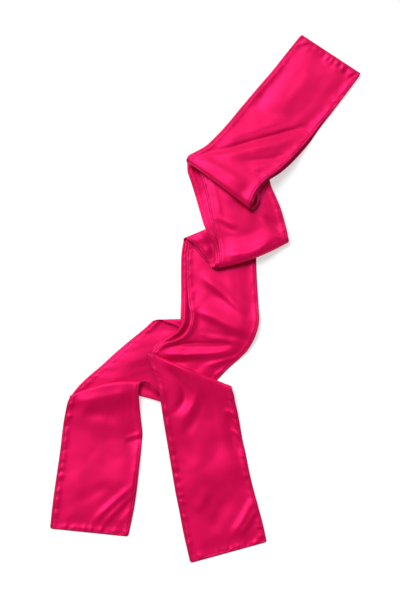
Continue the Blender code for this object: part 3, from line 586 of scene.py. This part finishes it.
class Ground:
    """A height map of what has been laid so far, with the air gap on top."""

    def __init__(self):
        self.x0, self.y0 = -260.0, -420.0
        self.shape = (int(840 / CELL), int(540 / CELL))
        self.height = np.zeros(self.shape)

    def read(self, field, x, y):
        row, column = (y - self.y0) / CELL, (x - self.x0) / CELL
        r0 = np.clip(np.floor(row).astype(int), 0, self.shape[0] - 2)
        c0 = np.clip(np.floor(column).astype(int), 0, self.shape[1] - 2)
        fr, fc = np.clip(row - r0, 0, 1), np.clip(column - c0, 0, 1)
        return (
            field[r0, c0] * (1 - fr) * (1 - fc)
            + field[r0, c0 + 1] * (1 - fr) * fc
            + field[r0 + 1, c0] * fr * (1 - fc)
            + field[r0 + 1, c0 + 1] * fr * fc
        )

    def add(self, grid):
        """Adds the upper side of a grid of points."""
        p = between(between(grid)).reshape(-1, 3)
        r = np.floor((p[:, 1] - self.y0) / CELL).astype(int)
        c = np.floor((p[:, 0] - self.x0) / CELL).astype(int)
        flat = self.height.ravel()
        for dr in (0, 1):
            for dc in (0, 1):
                np.maximum.at(flat, (r + dr) * self.shape[1] + c + dc, p[:, 2] + GAP)
        self.height = flat.reshape(self.shape)

    def softened(self, high):
        part = SETTLE // 2
        for _ in range(2):
            for axis in (0, 1):
                high = np.mean([np.roll(high, k, axis) for k in range(-part, part + 1)], axis=0)
        return np.maximum(high, 0.0).astype(float)

    def spanned(self, fall):
        """The map spread a little and softened, so it clears all that it covers, and the same map as cloth
        would span it, falling away no steeper than fall."""
        high = self.height.astype(np.float32)
        for axis in (0, 1):
            high = np.max([np.roll(high, k, axis) for k in range(-SETTLE, SETTLE + 1)], axis=0)
        close = self.softened(high)
        straight, slant = np.float32(fall * CELL), np.float32(fall * CELL * math.sqrt(2))
        for _ in range(int(high.max() / (fall * CELL)) + 2):
            for dr, dc in ((0, 1), (1, 0), (0, -1), (-1, 0)):
                high = np.maximum(high, np.roll(high, (dr, dc), (0, 1)) - straight)
            for dr, dc in ((1, 1), (1, -1), (-1, 1), (-1, -1)):
                high = np.maximum(high, np.roll(high, (dr, dc), (0, 1)) - slant)
        return close, self.softened(high)


def between(grid):
    """A grid of points with one more row and column between each two."""
    rows = np.empty((grid.shape[0] * 2 - 1, *grid.shape[1:]))
    rows[::2], rows[1::2] = grid, (grid[:-1] + grid[1:]) / 2
    both = np.empty((rows.shape[0], rows.shape[1] * 2 - 1, 3))
    both[:, ::2], both[:, 1::2] = rows, (rows[:, :-1] + rows[:, 1:]) / 2
    return both


def lay(stretch, ground):
    close, span = ground.spanned(FALL.get(stretch.name, 0.20))
    z = np.full_like(stretch.x, CLOTH / 2)
    for _ in range(4):
        x, y = from_plan(stretch.x, stretch.y, z)
        low = ground.read(close, x, y) + 0.05
        free = ground.read(span, x, y) + stretch.extra - low
        z = low + CLOTH / 2 + 0.5 * (free + np.sqrt(free**2 + 0.35**2))
    x, y = from_plan(stretch.x, stretch.y, z)
    stretch.grid = np.stack([x, y, z], axis=2)
    ground.add(stretch.grid + [0.0, 0.0, CLOTH / 2 + 0.2])


def turn(upper, which, lower, which_lower, ground):
    """Rows of points round the turn from the upper stretch down to the lower one."""
    high = upper.grid[0 if which == "start" else -1]
    low = lower.grid[0 if which_lower == "start" else -1]
    end = upper.ends[which]
    out = np.stack([end["nx"], -end["ny"]], axis=1)
    out /= np.linalg.norm(out, axis=1)[:, None]
    angles = math.pi * np.arange(1, TURN_STEPS) / TURN_STEPS
    rows = []
    for angle in angles:
        point = (high + low) / 2 + (high - low) / 2 * math.cos(angle)
        point[:, :2] += out * (end["bulge"] * math.sin(angle))[:, None]
        rows.append(point)
    rows = np.array(rows)
    half = TURN_STEPS // 2
    ground.add(np.concatenate([high[None], rows[:half]]) + [0.0, 0.0, CLOTH / 2 + 0.2])
    return rows


# ---- the strip, from the surface upwards ----
cross_left = Stretch("cross_left", CROSS_LEFT, ("left_crest", False), ("wedge_low", False), 1)
wedge_left = Stretch("wedge_left", WEDGE_LEFT, ("wedge_low", False), ("wedge_top", False), 2)
tail_left = Stretch("tail_left", TAIL_LEFT, ("wedge_top", False), None, 3)
tuck_left = Stretch("tuck_left", TUCK_LEFT, ("left_hidden", False), ("left_crest", False), 4)
run_lower = Stretch("run_lower", RUN_LOWER, ("third", False), ("left_hidden", False), 5)
run_upper = Stretch("run_upper", RUN_UPPER, ("third", True), ("right_hidden", False), 6)
tuck_right = Stretch("tuck_right", TUCK_RIGHT, ("right_hidden", False), ("right_top", False), 7)
tail_right = Stretch("tail_right", TAIL_RIGHT, ("right_top", False), None, 8)
return_lower = Stretch("return_lower", lower_ply(RETURN), ("second", False), ("third", True), 9)
return_upper = Stretch("return_upper", upper_ply(RETURN), ("second", True), ("third", False), 10)
bend_lower = Stretch("bend_lower", lower_ply(BEND), ("first_hidden", False), ("second", True), 11)
bend_upper = Stretch("bend_upper", upper_ply(BEND), ("first_hidden", True), ("second", False), 12)
tuck_lower = Stretch("tuck_lower", lower_ply(TUCK_TOP), ("first", False), ("first_hidden", True), 13)
tuck_upper = Stretch("tuck_upper", upper_ply(TUCK_TOP), ("first", True), ("first_hidden", False), 14)
tail_top_lower = Stretch("tail_top_lower", lower_ply(TAIL_TOP), ("doubled_end", False), ("first", True), 15)
tail_top_upper = Stretch("tail_top_upper", upper_ply(TAIL_TOP), ("doubled_end", False), ("first", False), 16)

ground = Ground()
turns = {}

for stretch, which in (
    (cross_left, "end"),
    (wedge_left, "start"),
    (tuck_left, "start"),
    (run_lower, "end"),
    (run_upper, "end"),
    (tuck_right, "start"),
    (bend_lower, "start"),
    (bend_upper, "start"),
    (tuck_lower, "end"),
    (tuck_upper, "end"),
):
    stretch.calm(which)

lay(cross_left, ground)
wedge_left.loft("start")
lay(wedge_left, ground)
turns["wedge_low"] = turn(wedge_left, "start", cross_left, "end", ground)
tail_left.loft("start")
lay(tail_left, ground)
turns["wedge_top"] = turn(tail_left, "start", wedge_left, "end", ground)
tuck_left.loft("end")
lay(tuck_left, ground)
turns["left_crest"] = turn(tuck_left, "end", cross_left, "start", ground)
lay(run_lower, ground)
turns["left_hidden"] = turn(run_lower, "end", tuck_left, "start", ground)
lay(run_upper, ground)
lay(tuck_right, ground)
turns["right_hidden"] = turn(tuck_right, "start", run_upper, "end", ground)
tail_right.loft("start")
lay(tail_right, ground)
turns["right_top"] = turn(tail_right, "start", tuck_right, "end", ground)
return_lower.loft("end")
lay(return_lower, ground)
turns["third_inner"] = turn(return_lower, "end", run_upper, "start", ground)
lay(return_upper, ground)
turns["third_outer"] = turn(return_upper, "end", run_lower, "start", ground)
bend_lower.loft("end")
lay(bend_lower, ground)
turns["second_inner"] = turn(bend_lower, "end", return_upper, "start", ground)
lay(bend_upper, ground)
turns["second_outer"] = turn(bend_upper, "end", return_lower, "start", ground)
lay(tuck_lower, ground)
lay(tuck_upper, ground)
turns["first_hidden_inner"] = turn(tuck_lower, "end", bend_upper, "start", ground)
turns["first_hidden_outer"] = turn(tuck_upper, "end", bend_lower, "start", ground)
tail_top_lower.loft("end")
lay(tail_top_lower, ground)
turns["first_inner"] = turn(tail_top_lower, "end", tuck_upper, "start", ground)
lay(tail_top_upper, ground)
turns["first_outer"] = turn(tail_top_upper, "end", tuck_lower, "start", ground)
turns["doubled_end"] = turn(tail_top_upper, "start", tail_top_lower, "start", ground)


class Half:
    """The stretches and turns of one half of the strip, in order along it, as one grid."""

    def __init__(self, parts):
        grids, edges = [], []
        marks = {}
        count = 0
        for part in parts:
            if isinstance(part, Stretch):
                marks[part.name] = (count, count + len(part.grid))
                grids.append(part.grid)
                edges.append(part.edge)
                count += len(part.grid)
            else:
                grids.append(part)
                edge = np.minimum(ACROSS, WIDTH - ACROSS)
                edges.append(np.repeat(edge[None, :], len(part), axis=0))
                count += len(part)
        self.grid = np.concatenate(grids)
        self.edge = np.concatenate(edges)
        self.marks = marks
        # ease the joins between stretches and turns
        for _ in range(3):
            self.grid[1:-1] = 0.25 * self.grid[:-2] + 0.5 * self.grid[1:-1] + 0.25 * self.grid[2:]
        self.normal = self.normals()
        step = np.linalg.norm(np.diff(self.grid[:, len(T) // 2], axis=0), axis=1)
        self.run = np.concatenate([[0.0], np.cumsum(step)])

    def normals(self):
        along, aside = np.gradient(self.grid, axis=0), np.gradient(self.grid, axis=1)
        normal = np.cross(along, aside)
        normal /= np.maximum(np.linalg.norm(normal, axis=2), 1e-9)[:, :, None]
        return normal


def flip(rows):
    return rows[::-1]


right_half = Half(
    [
        flip(turns["doubled_end"])[TURN_STEPS // 2 - 1 :],
        tail_top_upper,
        turns["first_outer"],
        tuck_lower,
        turns["first_hidden_inner"],
        bend_upper,
        turns["second_outer"],
        return_lower,
        turns["third_inner"],
        run_upper,
        flip(turns["right_hidden"]),
        tuck_right,
        flip(turns["right_top"]),
        tail_right,
    ]
)
left_half = Half(
    [
        turns["doubled_end"][TURN_STEPS // 2 :],
        tail_top_lower,
        turns["first_inner"],
        tuck_upper,
        turns["first_hidden_outer"],
        bend_lower,
        turns["second_inner"],
        return_upper,
        turns["third_outer"],
        run_lower,
        turns["left_hidden"],
        tuck_left,
        turns["left_crest"],
        cross_left,
        flip(turns["wedge_low"]),
        wedge_left,
        flip(turns["wedge_top"]),
        tail_left,
    ]
)


# ---- materials ----
def new_material(name):
    material = bpy.data.materials.new(name)
    material.use_nodes = True
    tree = material.node_tree
    return material, tree, tree.nodes["Principled BSDF"]


def satin_material():
    material, tree, shader = new_material("satin")
    nodes, links = tree.nodes, tree.links
    uv = nodes.new("ShaderNodeUVMap")
    uv.uv_map = "cloth"
    # warp floats: fine lines along the strip, broken up by short crossing ties
    stretchy = nodes.new("ShaderNodeMapping")
    stretchy.inputs["Scale"].default_value = (2600.0, 420.0, 1.0)
    links.new(uv.outputs["UV"], stretchy.inputs["Vector"])
    floats = nodes.new("ShaderNodeTexNoise")
    floats.inputs["Scale"].default_value = 1.0
    floats.inputs["Detail"].default_value = 2.0
    links.new(stretchy.outputs["Vector"], floats.inputs["Vector"])
    cross = nodes.new("ShaderNodeMapping")
    cross.inputs["Scale"].default_value = (300.0, 3400.0, 1.0)
    links.new(uv.outputs["UV"], cross.inputs["Vector"])
    ties = nodes.new("ShaderNodeTexNoise")
    ties.inputs["Scale"].default_value = 1.0
    ties.inputs["Detail"].default_value = 1.0
    links.new(cross.outputs["Vector"], ties.inputs["Vector"])
    weave = nodes.new("ShaderNodeMath")
    weave.operation = "ADD"
    links.new(floats.outputs["Fac"], weave.inputs[0])
    links.new(ties.outputs["Fac"], weave.inputs[1])
    bump = nodes.new("ShaderNodeBump")
    bump.inputs["Strength"].default_value = 0.22
    bump.inputs["Distance"].default_value = 0.00006
    links.new(weave.outputs[0], bump.inputs["Height"])
    links.new(bump.outputs["Normal"], shader.inputs["Normal"])
    # slight unevenness of the dye and of the gloss
    patch_map = nodes.new("ShaderNodeMapping")
    patch_map.inputs["Scale"].default_value = (34.0, 22.0, 1.0)
    links.new(uv.outputs["UV"], patch_map.inputs["Vector"])
    patch = nodes.new("ShaderNodeTexNoise")
    patch.inputs["Scale"].default_value = 1.0
    patch.inputs["Detail"].default_value = 4.0
    links.new(patch_map.outputs["Vector"], patch.inputs["Vector"])
    ramp = nodes.new("ShaderNodeValToRGB")
    ramp.color_ramp.elements[0].position = 0.30
    ramp.color_ramp.elements[0].color = (0.65, 0.0004, 0.063, 1.0)
    ramp.color_ramp.elements[1].position = 0.70
    ramp.color_ramp.elements[1].color = (0.73, 0.0006, 0.076, 1.0)
    links.new(patch.outputs["Fac"], ramp.inputs["Fac"])
    # the doubled hem is painted a little darker: painted shade, deepest on its rounded rim and in the groove of the
    # stitches
    hem_uv = nodes.new("ShaderNodeUVMap")
    hem_uv.uv_map = "hem"
    apart = nodes.new("ShaderNodeSeparateXYZ")
    links.new(hem_uv.outputs["UV"], apart.inputs["Vector"])
    reach = nodes.new("ShaderNodeMath")
    reach.operation = "MULTIPLY"
    reach.inputs[1].default_value = 1000.0 / 6.0
    links.new(apart.outputs["X"], reach.inputs[0])
    # ramp of painted shade across the hem, set by the distance from the edge
    depth = nodes.new("ShaderNodeValToRGB")
    stops = depth.color_ramp.elements
    stops[0].position, stops[0].color = 0.0, (0.52, 0.52, 0.52, 1.0)
    stops[1].position, stops[1].color = 1.0, (1.0, 1.0, 1.0, 1.0)
    for edge, shade in ((0.7, 0.62), (1.3, 0.90), (2.6, 0.92), (3.2, 0.66), (3.8, 0.88), (4.8, 1.0)):
        stop = stops.new(edge / 6.0)
        stop.color = (shade, shade, shade, 1.0)
    links.new(reach.outputs[0], depth.inputs["Fac"])
    # multiplies the painted hem shade into the dye colour
    paint_hem_shade = nodes.new("ShaderNodeMix")
    paint_hem_shade.data_type = "RGBA"
    paint_hem_shade.blend_type = "MULTIPLY"
    paint_hem_shade.inputs[0].default_value = 1.0
    links.new(ramp.outputs["Color"], paint_hem_shade.inputs[6])
    links.new(depth.outputs["Color"], paint_hem_shade.inputs[7])
    links.new(paint_hem_shade.outputs[2], shader.inputs["Base Color"])
    gloss = nodes.new("ShaderNodeMapRange")
    gloss.inputs["From Min"].default_value = 0.3
    gloss.inputs["From Max"].default_value = 0.7
    gloss.inputs["To Min"].default_value = 0.47
    gloss.inputs["To Max"].default_value = 0.53
    links.new(floats.outputs["Fac"], gloss.inputs["Value"])
    links.new(gloss.outputs["Result"], shader.inputs["Roughness"])
    shader.inputs["Metallic"].default_value = 0.35
    shader.inputs["IOR"].default_value = 1.55
    shader.inputs["Specular IOR Level"].default_value = 0.8
    shader.inputs["Specular Tint"].default_value = (1.0, 0.15, 0.64, 1.0)
    shader.inputs["Sheen Weight"].default_value = 0.05
    shader.inputs["Sheen Roughness"].default_value = 0.45
    shader.inputs["Sheen Tint"].default_value = (1.0, 0.16, 0.48, 1.0)
    return material


def thread_material():
    material, tree, shader = new_material("hem_thread")
    nodes, links = tree.nodes, tree.links
    place = nodes.new("ShaderNodeNewGeometry")
    noise = nodes.new("ShaderNodeTexNoise")
    noise.inputs["Scale"].default_value = 900.0
    links.new(place.outputs["Position"], noise.inputs["Vector"])
    ramp = nodes.new("ShaderNodeValToRGB")
    ramp.color_ramp.elements[0].color = (0.42, 0.0010, 0.036, 1.0)
    ramp.color_ramp.elements[1].color = (0.62, 0.0030, 0.075, 1.0)
    links.new(noise.outputs["Fac"], ramp.inputs["Fac"])
    links.new(ramp.outputs["Color"], shader.inputs["Base Color"])
    shader.inputs["Roughness"].default_value = 0.55
    shader.inputs["Specular IOR Level"].default_value = 0.4
    return material


SATIN = satin_material()
THREAD = thread_material()


# ---- meshes ----
def build_mesh(name, points, quads, layers, material):
    mesh = bpy.data.meshes.new(name)
    mesh.vertices.add(len(points))
    mesh.vertices.foreach_set("co", (points * 0.001).astype(np.float32).ravel())
    mesh.loops.add(quads.size)
    mesh.loops.foreach_set("vertex_index", quads.astype(np.int32).ravel())
    mesh.polygons.add(len(quads))
    mesh.polygons.foreach_set("loop_start", np.arange(0, quads.size, 4, dtype=np.int32))
    mesh.polygons.foreach_set("loop_total", np.full(len(quads), 4, dtype=np.int32))
    mesh.update(calc_edges=True)
    mesh.polygons.foreach_set("use_smooth", np.ones(len(quads), dtype=bool))
    for layer_name, uvs in layers.items():
        layer = mesh.uv_layers.new(name=layer_name)
        layer.data.foreach_set("uv", (uvs[quads.ravel()] * 0.001).astype(np.float32).ravel())
    mesh.materials.append(material)
    mesh.validate()
    thing = bpy.data.objects.new(name, mesh)
    bpy.context.collection.objects.link(thing)
    return thing


def thickness(edge):
    """Half the cloth's thickness at a distance from its edge: doubled in the hem, with a rounded rim and the stitches' groove."""
    half = CLOTH / 2 + 0.20 * (1 - ease((edge - HEM + 0.5) / 0.7))
    half -= 0.16 * np.exp(-(((edge - STITCH_IN) / 0.34) ** 2))
    rim = np.clip(edge / 0.6, 0.0, 1.0)
    return half * np.sqrt(np.maximum(1 - (1 - rim) ** 2, 0.01))


def cloth(name, half, first, last):
    """A closed shell of the cloth of some rows of one half."""
    mid, normal = half.grid[first:last], half.normal[first:last]
    thick = thickness(half.edge[first:last])[:, :, None]
    face, back = mid + normal * thick, mid - normal * thick
    face[:, :, 2] = np.maximum(face[:, :, 2], 0.02)
    back[:, :, 2] = np.maximum(back[:, :, 2], 0.02)
    rows, columns = mid.shape[:2]
    points = np.concatenate([face.reshape(-1, 3), back.reshape(-1, 3)]) + SHIFT
    index = np.arange(rows * columns).reshape(rows, columns)
    a, b, c, d = index[:-1, :-1], index[:-1, 1:], index[1:, 1:], index[1:, :-1]
    top = np.stack([a, d, c, b], axis=-1).reshape(-1, 4)
    bottom = top[:, ::-1] + rows * columns
    rim = np.concatenate([index[0, :], index[1:, -1], index[-1, -2::-1], index[-2:0:-1, 0]])
    ahead = np.roll(rim, -1)
    side = np.stack([rim, ahead, ahead + rows * columns, rim + rows * columns], axis=1)
    quads = np.concatenate([top, bottom, side])
    v = np.repeat(half.run[first:last, None], columns, axis=1)
    u = np.repeat(ACROSS[None, :], rows, axis=0)
    uv = np.stack([u.ravel(), v.ravel()], axis=1)
    edge = half.edge[first:last].copy()
    # tuck_left gets none of the painted rim shade, as its hem rolls over with the crest
    if "tuck_left" in half.marks:  # its hem rolls over with the crest, so it shows no darker rim
        a, b = (min(max(row - first, 0), len(edge)) for row in half.marks["tuck_left"])
        edge[a:b] = np.maximum(edge[a:b], 6.0)
    edge = edge.ravel()
    hem = np.stack([edge, np.zeros_like(edge)], axis=1)
    layers = {"cloth": np.concatenate([uv, uv]), "hem": np.concatenate([hem, hem])}
    return build_mesh(name, points, quads, layers, SATIN)


def stitch_rows(half, first, last, spans):
    """Places of the stitches of some rows: points, directions and normals, on both faces."""
    centres, ways, ups = [], [], []
    mid, normal = half.grid[first:last], half.normal[first:last]
    run = half.run[first:last]

    def walk(line, up, pitch=3.0):
        step = np.linalg.norm(np.diff(line, axis=0), axis=1)
        at = np.concatenate([[0.0], np.cumsum(step)])
        if at[-1] < 2 * pitch:
            return
        for place in np.arange(pitch, at[-1] - pitch * 0.5, pitch):
            point = np.array([np.interp(place, at, line[:, k]) for k in range(3)])
            ahead = np.array([np.interp(place + 0.7, at, line[:, k]) for k in range(3)])
            top = np.array([np.interp(place, at, up[:, k]) for k in range(3)])
            centres.append(point)
            ways.append(ahead - point)
            ups.append(top)

    left = int(np.argmin(np.abs(ACROSS - STITCH_IN)))
    right = len(ACROSS) - 1 - left
    for column in (left, right):
        line, up = mid[:, column], normal[:, column]
        for sign in (1, -1):
            walk(line + up * sign * (CLOTH / 2 + 0.06), up * sign)
    for row in spans:
        line, up = mid[row - first, left : right + 1], normal[row - first, left : right + 1]
        for sign in (1, -1):
            walk(line + up * sign * (CLOTH / 2 + 0.06), up * sign)
    return np.array(centres), np.array(ways), np.array(ups)


def stitches(name, centres, ways, ups):
    """Every stitch as a small rounded bead of thread, joined in one mesh."""
    way = ways / np.maximum(np.linalg.norm(ways, axis=1), 1e-9)[:, None]
    aside = np.cross(ups, way)
    aside /= np.maximum(np.linalg.norm(aside, axis=1), 1e-9)[:, None]
    up = np.cross(way, aside)
    rings = ((-1.05, 0.10, -0.10), (-0.75, 0.24, 0.0), (0.0, 0.30, 0.07), (0.75, 0.24, 0.0), (1.05, 0.10, -0.10))
    spokes = 6
    points = []
    for along, radius, raise_ in rings:
        for k in range(spokes):
            angle = 2 * math.pi * k / spokes
            points.append(
                centres
                + way * along
                + aside * radius * math.cos(angle)
                + up * (raise_ + radius * 0.75 * math.sin(angle))
            )
    points = np.stack(points, axis=1)  # stitch, point, xyz
    sunk = np.minimum(points[:, :, 2].min(axis=1) - 0.02, 0.0)  # none goes below the surface it lies on
    points[:, :, 2] -= sunk[:, None]
    faces = []
    for i in range(len(rings) - 1):
        for k in range(spokes):
            a, b = i * spokes + k, i * spokes + (k + 1) % spokes
            faces.append((a, b, b + spokes, a + spokes))
    for base, order in ((0, (3, 2, 1, 0)), ((len(rings) - 1) * spokes, (0, 1, 2, 3))):
        faces.append(tuple(base + k for k in order))
        faces.append(tuple(base + k for k in ((5, 4, 3, 0) if base == 0 else (0, 3, 4, 5))))
    faces = np.array(faces)
    each = rings.__len__() * spokes
    quads = (faces[None] + (np.arange(len(centres)) * each)[:, None, None]).reshape(-1, 4)
    return build_mesh(name, points.reshape(-1, 3) + SHIFT, quads, {}, THREAD)


def split_row(half, name):
    first, last = half.marks[name]
    return (first + last) // 2


# each half is cut twice, where other cloth covers it
RIGHT_CUTS = (0, split_row(right_half, "tuck_lower"), split_row(right_half, "tuck_right"), len(right_half.grid))
LEFT_CUTS = (0, split_row(left_half, "tuck_upper"), split_row(left_half, "tuck_left"), len(left_half.grid))
PIECES = (
    # name, half, first row, last row, the nodes it stands for, what it rests on
    (
        "satin_right_end",
        right_half,
        *RIGHT_CUTS[0:2],
        ("tail_top_upper", "tuck_top"),
        ("satin_left_end",),
    ),
    (
        "satin_right_middle",
        right_half,
        *RIGHT_CUTS[1:3],
        ("bend_upper", "return_lower", "run_upper"),
        ("satin_left_middle", "floor"),
    ),
    (
        "satin_right_tail",
        right_half,
        *RIGHT_CUTS[2:4],
        ("tuck_right", "tail_right"),
        ("satin_left_tail", "floor"),
    ),
    (
        "satin_left_end",
        left_half,
        *LEFT_CUTS[0:2],
        ("tail_top_lower",),
        ("satin_right_middle", "floor"),
    ),
    (
        "satin_left_middle",
        left_half,
        *LEFT_CUTS[1:3],
        ("bend_lower", "return_upper", "run_lower"),
        ("satin_left_tail", "floor"),
    ),
    (
        "satin_left_tail",
        left_half,
        *LEFT_CUTS[2:4],
        ("tuck_left", "cross_left", "wedge_left", "tail_left"),
        ("floor",),
    ),
)

made = {}
for name, half, first, last, nodes, rests in PIECES:
    made[name] = cloth(name, half, first, last)
    spans = []
    for stretch_name, (a, b) in half.marks.items():
        if first <= a and b <= last:
            if stretch_name in ("tail_top_upper", "tail_top_lower"):
                spans.append(a + HEM_COLUMNS.index(3.2))
            if stretch_name in ("tail_right", "tail_left"):
                spans.append(b - 1 - HEM_COLUMNS.index(3.2))
    made[name + "_stitches"] = stitches(name + "_stitches", *stitch_rows(half, first, last, spans))

# ---- floor, light, camera ----
bpy.ops.mesh.primitive_plane_add(size=40.0, location=(0.0, 0.0, -0.0002))
floor = bpy.context.object
floor.name = "floor"
floor_material, floor_tree, floor_shader = new_material("floor")
floor_shader.inputs["Base Color"].default_value = (0.47, 0.47, 0.47, 1.0)
floor_shader.inputs["Roughness"].default_value = 0.9
floor_shader.inputs["Specular IOR Level"].default_value = 0.1
floor_shader.inputs["Emission Color"].default_value = (1.0, 1.0, 1.0, 1.0)
floor_shader.inputs["Emission Strength"].default_value = 0.54
floor.data.materials.append(floor_material)

# a low pale backdrop far off all round, seen only by a camera near the level of the floor
bpy.ops.mesh.primitive_cylinder_add(vertices=96, radius=19.0, depth=7.0, end_fill_type="NOTHING", location=(0.0, 0.0, 3.4))
backdrop = bpy.context.object
backdrop.name = "backdrop"
backdrop_material, backdrop_tree, backdrop_shader = new_material("backdrop")
backdrop_shader.inputs["Base Color"].default_value = (0.05, 0.05, 0.05, 1.0)
backdrop_shader.inputs["Roughness"].default_value = 1.0
backdrop_shader.inputs["Specular IOR Level"].default_value = 0.0
backdrop_shader.inputs["Emission Color"].default_value = (1.0, 1.0, 1.0, 1.0)
backdrop_shader.inputs["Emission Strength"].default_value = 0.74
backdrop.data.materials.append(backdrop_material)

world = bpy.data.worlds.new("studio")
world.use_nodes = True
world.node_tree.nodes["Background"].inputs["Color"].default_value = (1.0, 1.0, 1.0, 1.0)
world.node_tree.nodes["Background"].inputs["Strength"].default_value = 0.10
bpy.context.scene.world = world


def soft_sun(name, towards, angle, strength, colour=(1.0, 1.0, 1.0)):
    """An even light from far off, as wide as a large softbox."""
    data = bpy.data.lights.new(name, "SUN")
    data.energy = strength
    data.angle = angle
    data.color = colour
    thing = bpy.data.objects.new(name, data)
    bpy.context.collection.objects.link(thing)
    thing.rotation_euler = Vector(towards).to_track_quat("Z", "Y").to_euler()
    return thing


soft_sun("key", (-0.50, 0.58, 1.0), 0.50, 2.9)
soft_sun("fill", (0.22, 0.80, 1.0), 0.90, 0.74)

camera_data = bpy.data.cameras.new("camera")
camera_data.lens = 60.0
camera_data.sensor_width = 36.0
camera_data.sensor_fit = "AUTO"
camera_data.clip_start = 0.05
camera_data.clip_end = 20.0
camera = bpy.data.objects.new("camera", camera_data)
bpy.context.collection.objects.link(camera)
distance = VIEW_DISTANCE * 0.001
camera.location = (
    SHIFT[0] * 0.001,
    SHIFT[1] * 0.001 - math.sin(VIEW_TILT) * distance,
    math.cos(VIEW_TILT) * distance,
)
camera.rotation_euler = (VIEW_TILT, 0.0, 0.0)
bpy.context.scene.camera = camera
bpy.context.scene.view_settings.view_transform = "Standard"
bpy.context.scene.view_settings.look = "None"

# ---- how each piece belongs to the part ----
for name, half, first, last, nodes, rests in PIECES:
    piece, seam = made[name], made[name + "_stitches"]
    for thing in (piece, seam):
        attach(thing, "root")
    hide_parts(*nodes)
